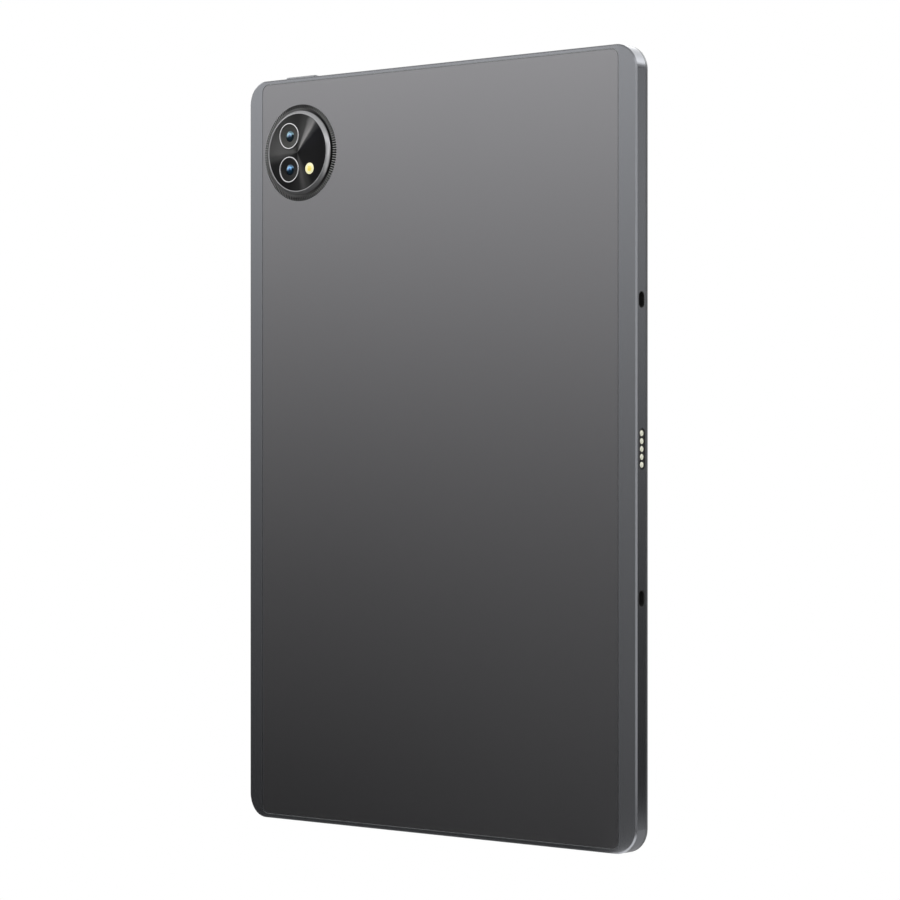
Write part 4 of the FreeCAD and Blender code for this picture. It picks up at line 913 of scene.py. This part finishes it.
for name, tone, deep, pits, roughness, relief, dressed in (
        ("speakerPlastic", (0.04, 0.04, 0.042), (0.024, 0.024, 0.025), 3.0, 0.5, 0.01,
         ("speaker_lower_left", "speaker_lower_right", "speaker_upper_left", "speaker_upper_right")),
        ("switchPlastic", (0.62, 0.61, 0.58), (0.50, 0.49, 0.46), 5.0, 0.45, 0.005,
         ("power_switch", "volume_switches")),
        ("tonguePlastic", (0.03, 0.03, 0.032), (0.02, 0.02, 0.02), 6.0, 0.38, 0.003, ("usb_tongue",)),
        ("islandPlastic", (0.03, 0.03, 0.032), (0.018, 0.018, 0.019), 5.0, 0.42, 0.006,
         ("camera_base",)),
        ("carrierPlastic", (0.010, 0.010, 0.010), (0.006, 0.006, 0.006), 6.0, 0.6, 0.004,
         ("contact_carrier",)),
        ("linerPlastic", (0.010, 0.010, 0.010), (0.005, 0.005, 0.005), 6.0, 0.6, 0.005,
         ("slot_liners",))):
    dress(material(name, sparkPlastic, {"tone": tone, "deep": deep, "pits": pits,
                                        "roughness": roughness, "relief": relief}), *dressed)
dress(material("mouldedChip", mouldedChip, {
    "tone": (0.028, 0.028, 0.03), "deep": (0.018, 0.018, 0.019), "glint": (0.16, 0.16, 0.17)}),
    "processor", "memory_chip", "light_sensor")
print("inside dressed")


studio = {
    "floorRadius": 1.2,
    # share of the floor's radius, and how bright the floor looks from the object
    "floorGlow": ((0.0, 0.02), (0.20, 0.02), (0.45, 0.035), (0.70, 0.035), (1.0, 0.02)),
    "card": 0.50, "cardReach": (0.12, 0.17), "cardEdge": (-0.004, 0.008),
    "glint": 1.6, "glintX": (-0.080, -0.072), "glintNear": (0.0, 0.003), "glintFar": (0.008, 0.016),
    # a paler sector of the floor, along the way the rear chamfer mirrors
    "sectorWay": (-0.767, 0.641), "sector": (0.90, 0.97), "sectorGlow": 0.8, "sectorStart": (0.10, 0.16),
    "dark": 0.02, "bright": 2.2, "edge": (-0.052, 0.30), "overhead": (0.35, 0.70), "overheadLoss": 0.72,
    "besideX": (0.20, 0.40), "besideY": (0.25, 0.55), "besideZ": (0.25, 0.45),
    "behindY": (0.30, 0.60), "behindLow": (0.10, 0.16), "behindHigh": (0.25, 0.37), "behindLift": 0.75,
}


def floorPlane(radius):
    mesh = bpy.data.meshes.new("floor")
    mesh.from_pydata([(-radius, -radius, 0.0), (radius, -radius, 0.0), (radius, radius, 0.0),
                      (-radius, radius, 0.0)], [], [(0, 1, 2, 3)])
    made = bpy.data.objects.new("floor", mesh)
    look = bpy.data.materials.new("floorPaper")
    look.use_nodes = True
    look.node_tree.nodes.clear()
    start = Wire(look.node_tree)
    seen = start.node("ShaderNodeLightPath")
    pale = start.node("ShaderNodeEmission", {}, {"Color": 1.0, "Strength": 1.0})
    x, y, _ = start.node("ShaderNodeTexCoord", output=3).axes()
    away = distance(x, y)
    card = (1 - away.fit(*studio["cardReach"])) * (1 - y.fit(*studio["cardEdge"])) * studio["card"]
    along = (x * studio["sectorWay"][0] + y * studio["sectorWay"][1]) / away
    sector = along.fit(*studio["sector"]) * away.fit(*studio["sectorStart"]) * studio["sectorGlow"]
    glint = (1 - x.fit(*studio["glintX"])) * y.fit(*studio["glintNear"]) * (1 - y.fit(*studio["glintFar"]))
    glow = (away / radius).ramp(studio["floorGlow"]) + card + sector + glint * studio["glint"]
    dim = start.node("ShaderNodeEmission", {}, {"Color": 1.0, "Strength": glow})
    both = start.node("ShaderNodeMixShader", {}, {0: seen, 1: dim, 2: pale})
    end = look.node_tree.nodes.new("ShaderNodeOutputMaterial")
    look.node_tree.links.new(both.socket, end.inputs["Surface"])
    mesh.materials.append(look)
    bpy.context.scene.collection.objects.link(made)


# White to the camera. For the object: dark below the horizon, a bright band above it that weakens
# overhead, and two dark flags, one beside the lit rear face and one low behind the screen.
def studioWorld():
    world = bpy.data.worlds.new("studio")
    bpy.context.scene.world = world
    world.use_nodes = True
    world.node_tree.nodes.clear()
    start = Wire(world.node_tree)
    x, y, z = start.node("ShaderNodeTexCoord", output=0).axes()
    band = z.fit(*studio["edge"]) * (1 - z.fit(*studio["overhead"]) * studio["overheadLoss"])
    beside = y.fit(*studio["besideY"]) * (1 - x.fit(*studio["besideX"])) * (1 - z.fit(*studio["besideZ"]))
    behind = ((y * -1.0).fit(*studio["behindY"]) * z.fit(*studio["behindLow"])
              * (1 - z.fit(*studio["behindHigh"])))
    lift = (y * -1.0).fit(*studio["behindY"]) * z.fit(*studio["behindHigh"]) * studio["behindLift"]
    glow = band * studio["bright"] * (1 - beside) * (1 - behind) + studio["dark"] + lift
    lit = start.node("ShaderNodeBackground", {}, {"Color": 1.0, "Strength": glow})
    plain = start.node("ShaderNodeBackground", {}, {"Color": 1.0, "Strength": 1.0})
    seen = start.node("ShaderNodeLightPath")
    both = start.node("ShaderNodeMixShader", {}, {0: seen, 1: lit, 2: plain})
    end = world.node_tree.nodes.new("ShaderNodeOutputWorld")
    world.node_tree.links.new(both.socket, end.inputs["Surface"])


floorPlane(studio["floorRadius"])
studioWorld()


# A panel light; its power is radiance x area x pi.
def softBox(name, spot, aim, width, height, radiance):
    lamp = bpy.data.lights.new(name, "AREA")
    lamp.shape, lamp.size, lamp.size_y = "RECTANGLE", width, height
    lamp.energy = radiance * width * height * math.pi
    made = bpy.data.objects.new(name, lamp)
    made.location = spot
    way = np.asarray(aim, float) - np.asarray(spot, float)
    made.rotation_euler = Vector(way).to_track_quat("-Z", "Y").to_euler()
    made.visible_camera = False
    bpy.context.scene.collection.objects.link(made)


softBox("backPanel", (-1.92, 1.60, 0.13), (0.0, 0.0, 0.13), 0.9, 1.6, 1.5)

view = {"spot": (-0.6562, 0.7796, 0.12745), "way": (0.6412, -0.7674), "lens": 121.98,
        "shift": 0.00256, "sensor": 36.0}
camera = bpy.data.cameras.new("camera")
camera.lens, camera.sensor_width, camera.shift_y = view["lens"], view["sensor"], view["shift"]
holder = bpy.data.objects.new("camera", camera)
holder.location = view["spot"]
holder.rotation_euler = (math.pi / 2, 0.0, math.atan2(view["way"][1], view["way"][0]) - math.pi / 2)
bpy.context.scene.collection.objects.link(holder)
bpy.context.scene.camera = holder
bpy.context.scene.view_settings.view_transform = "Standard"
print("stage set")
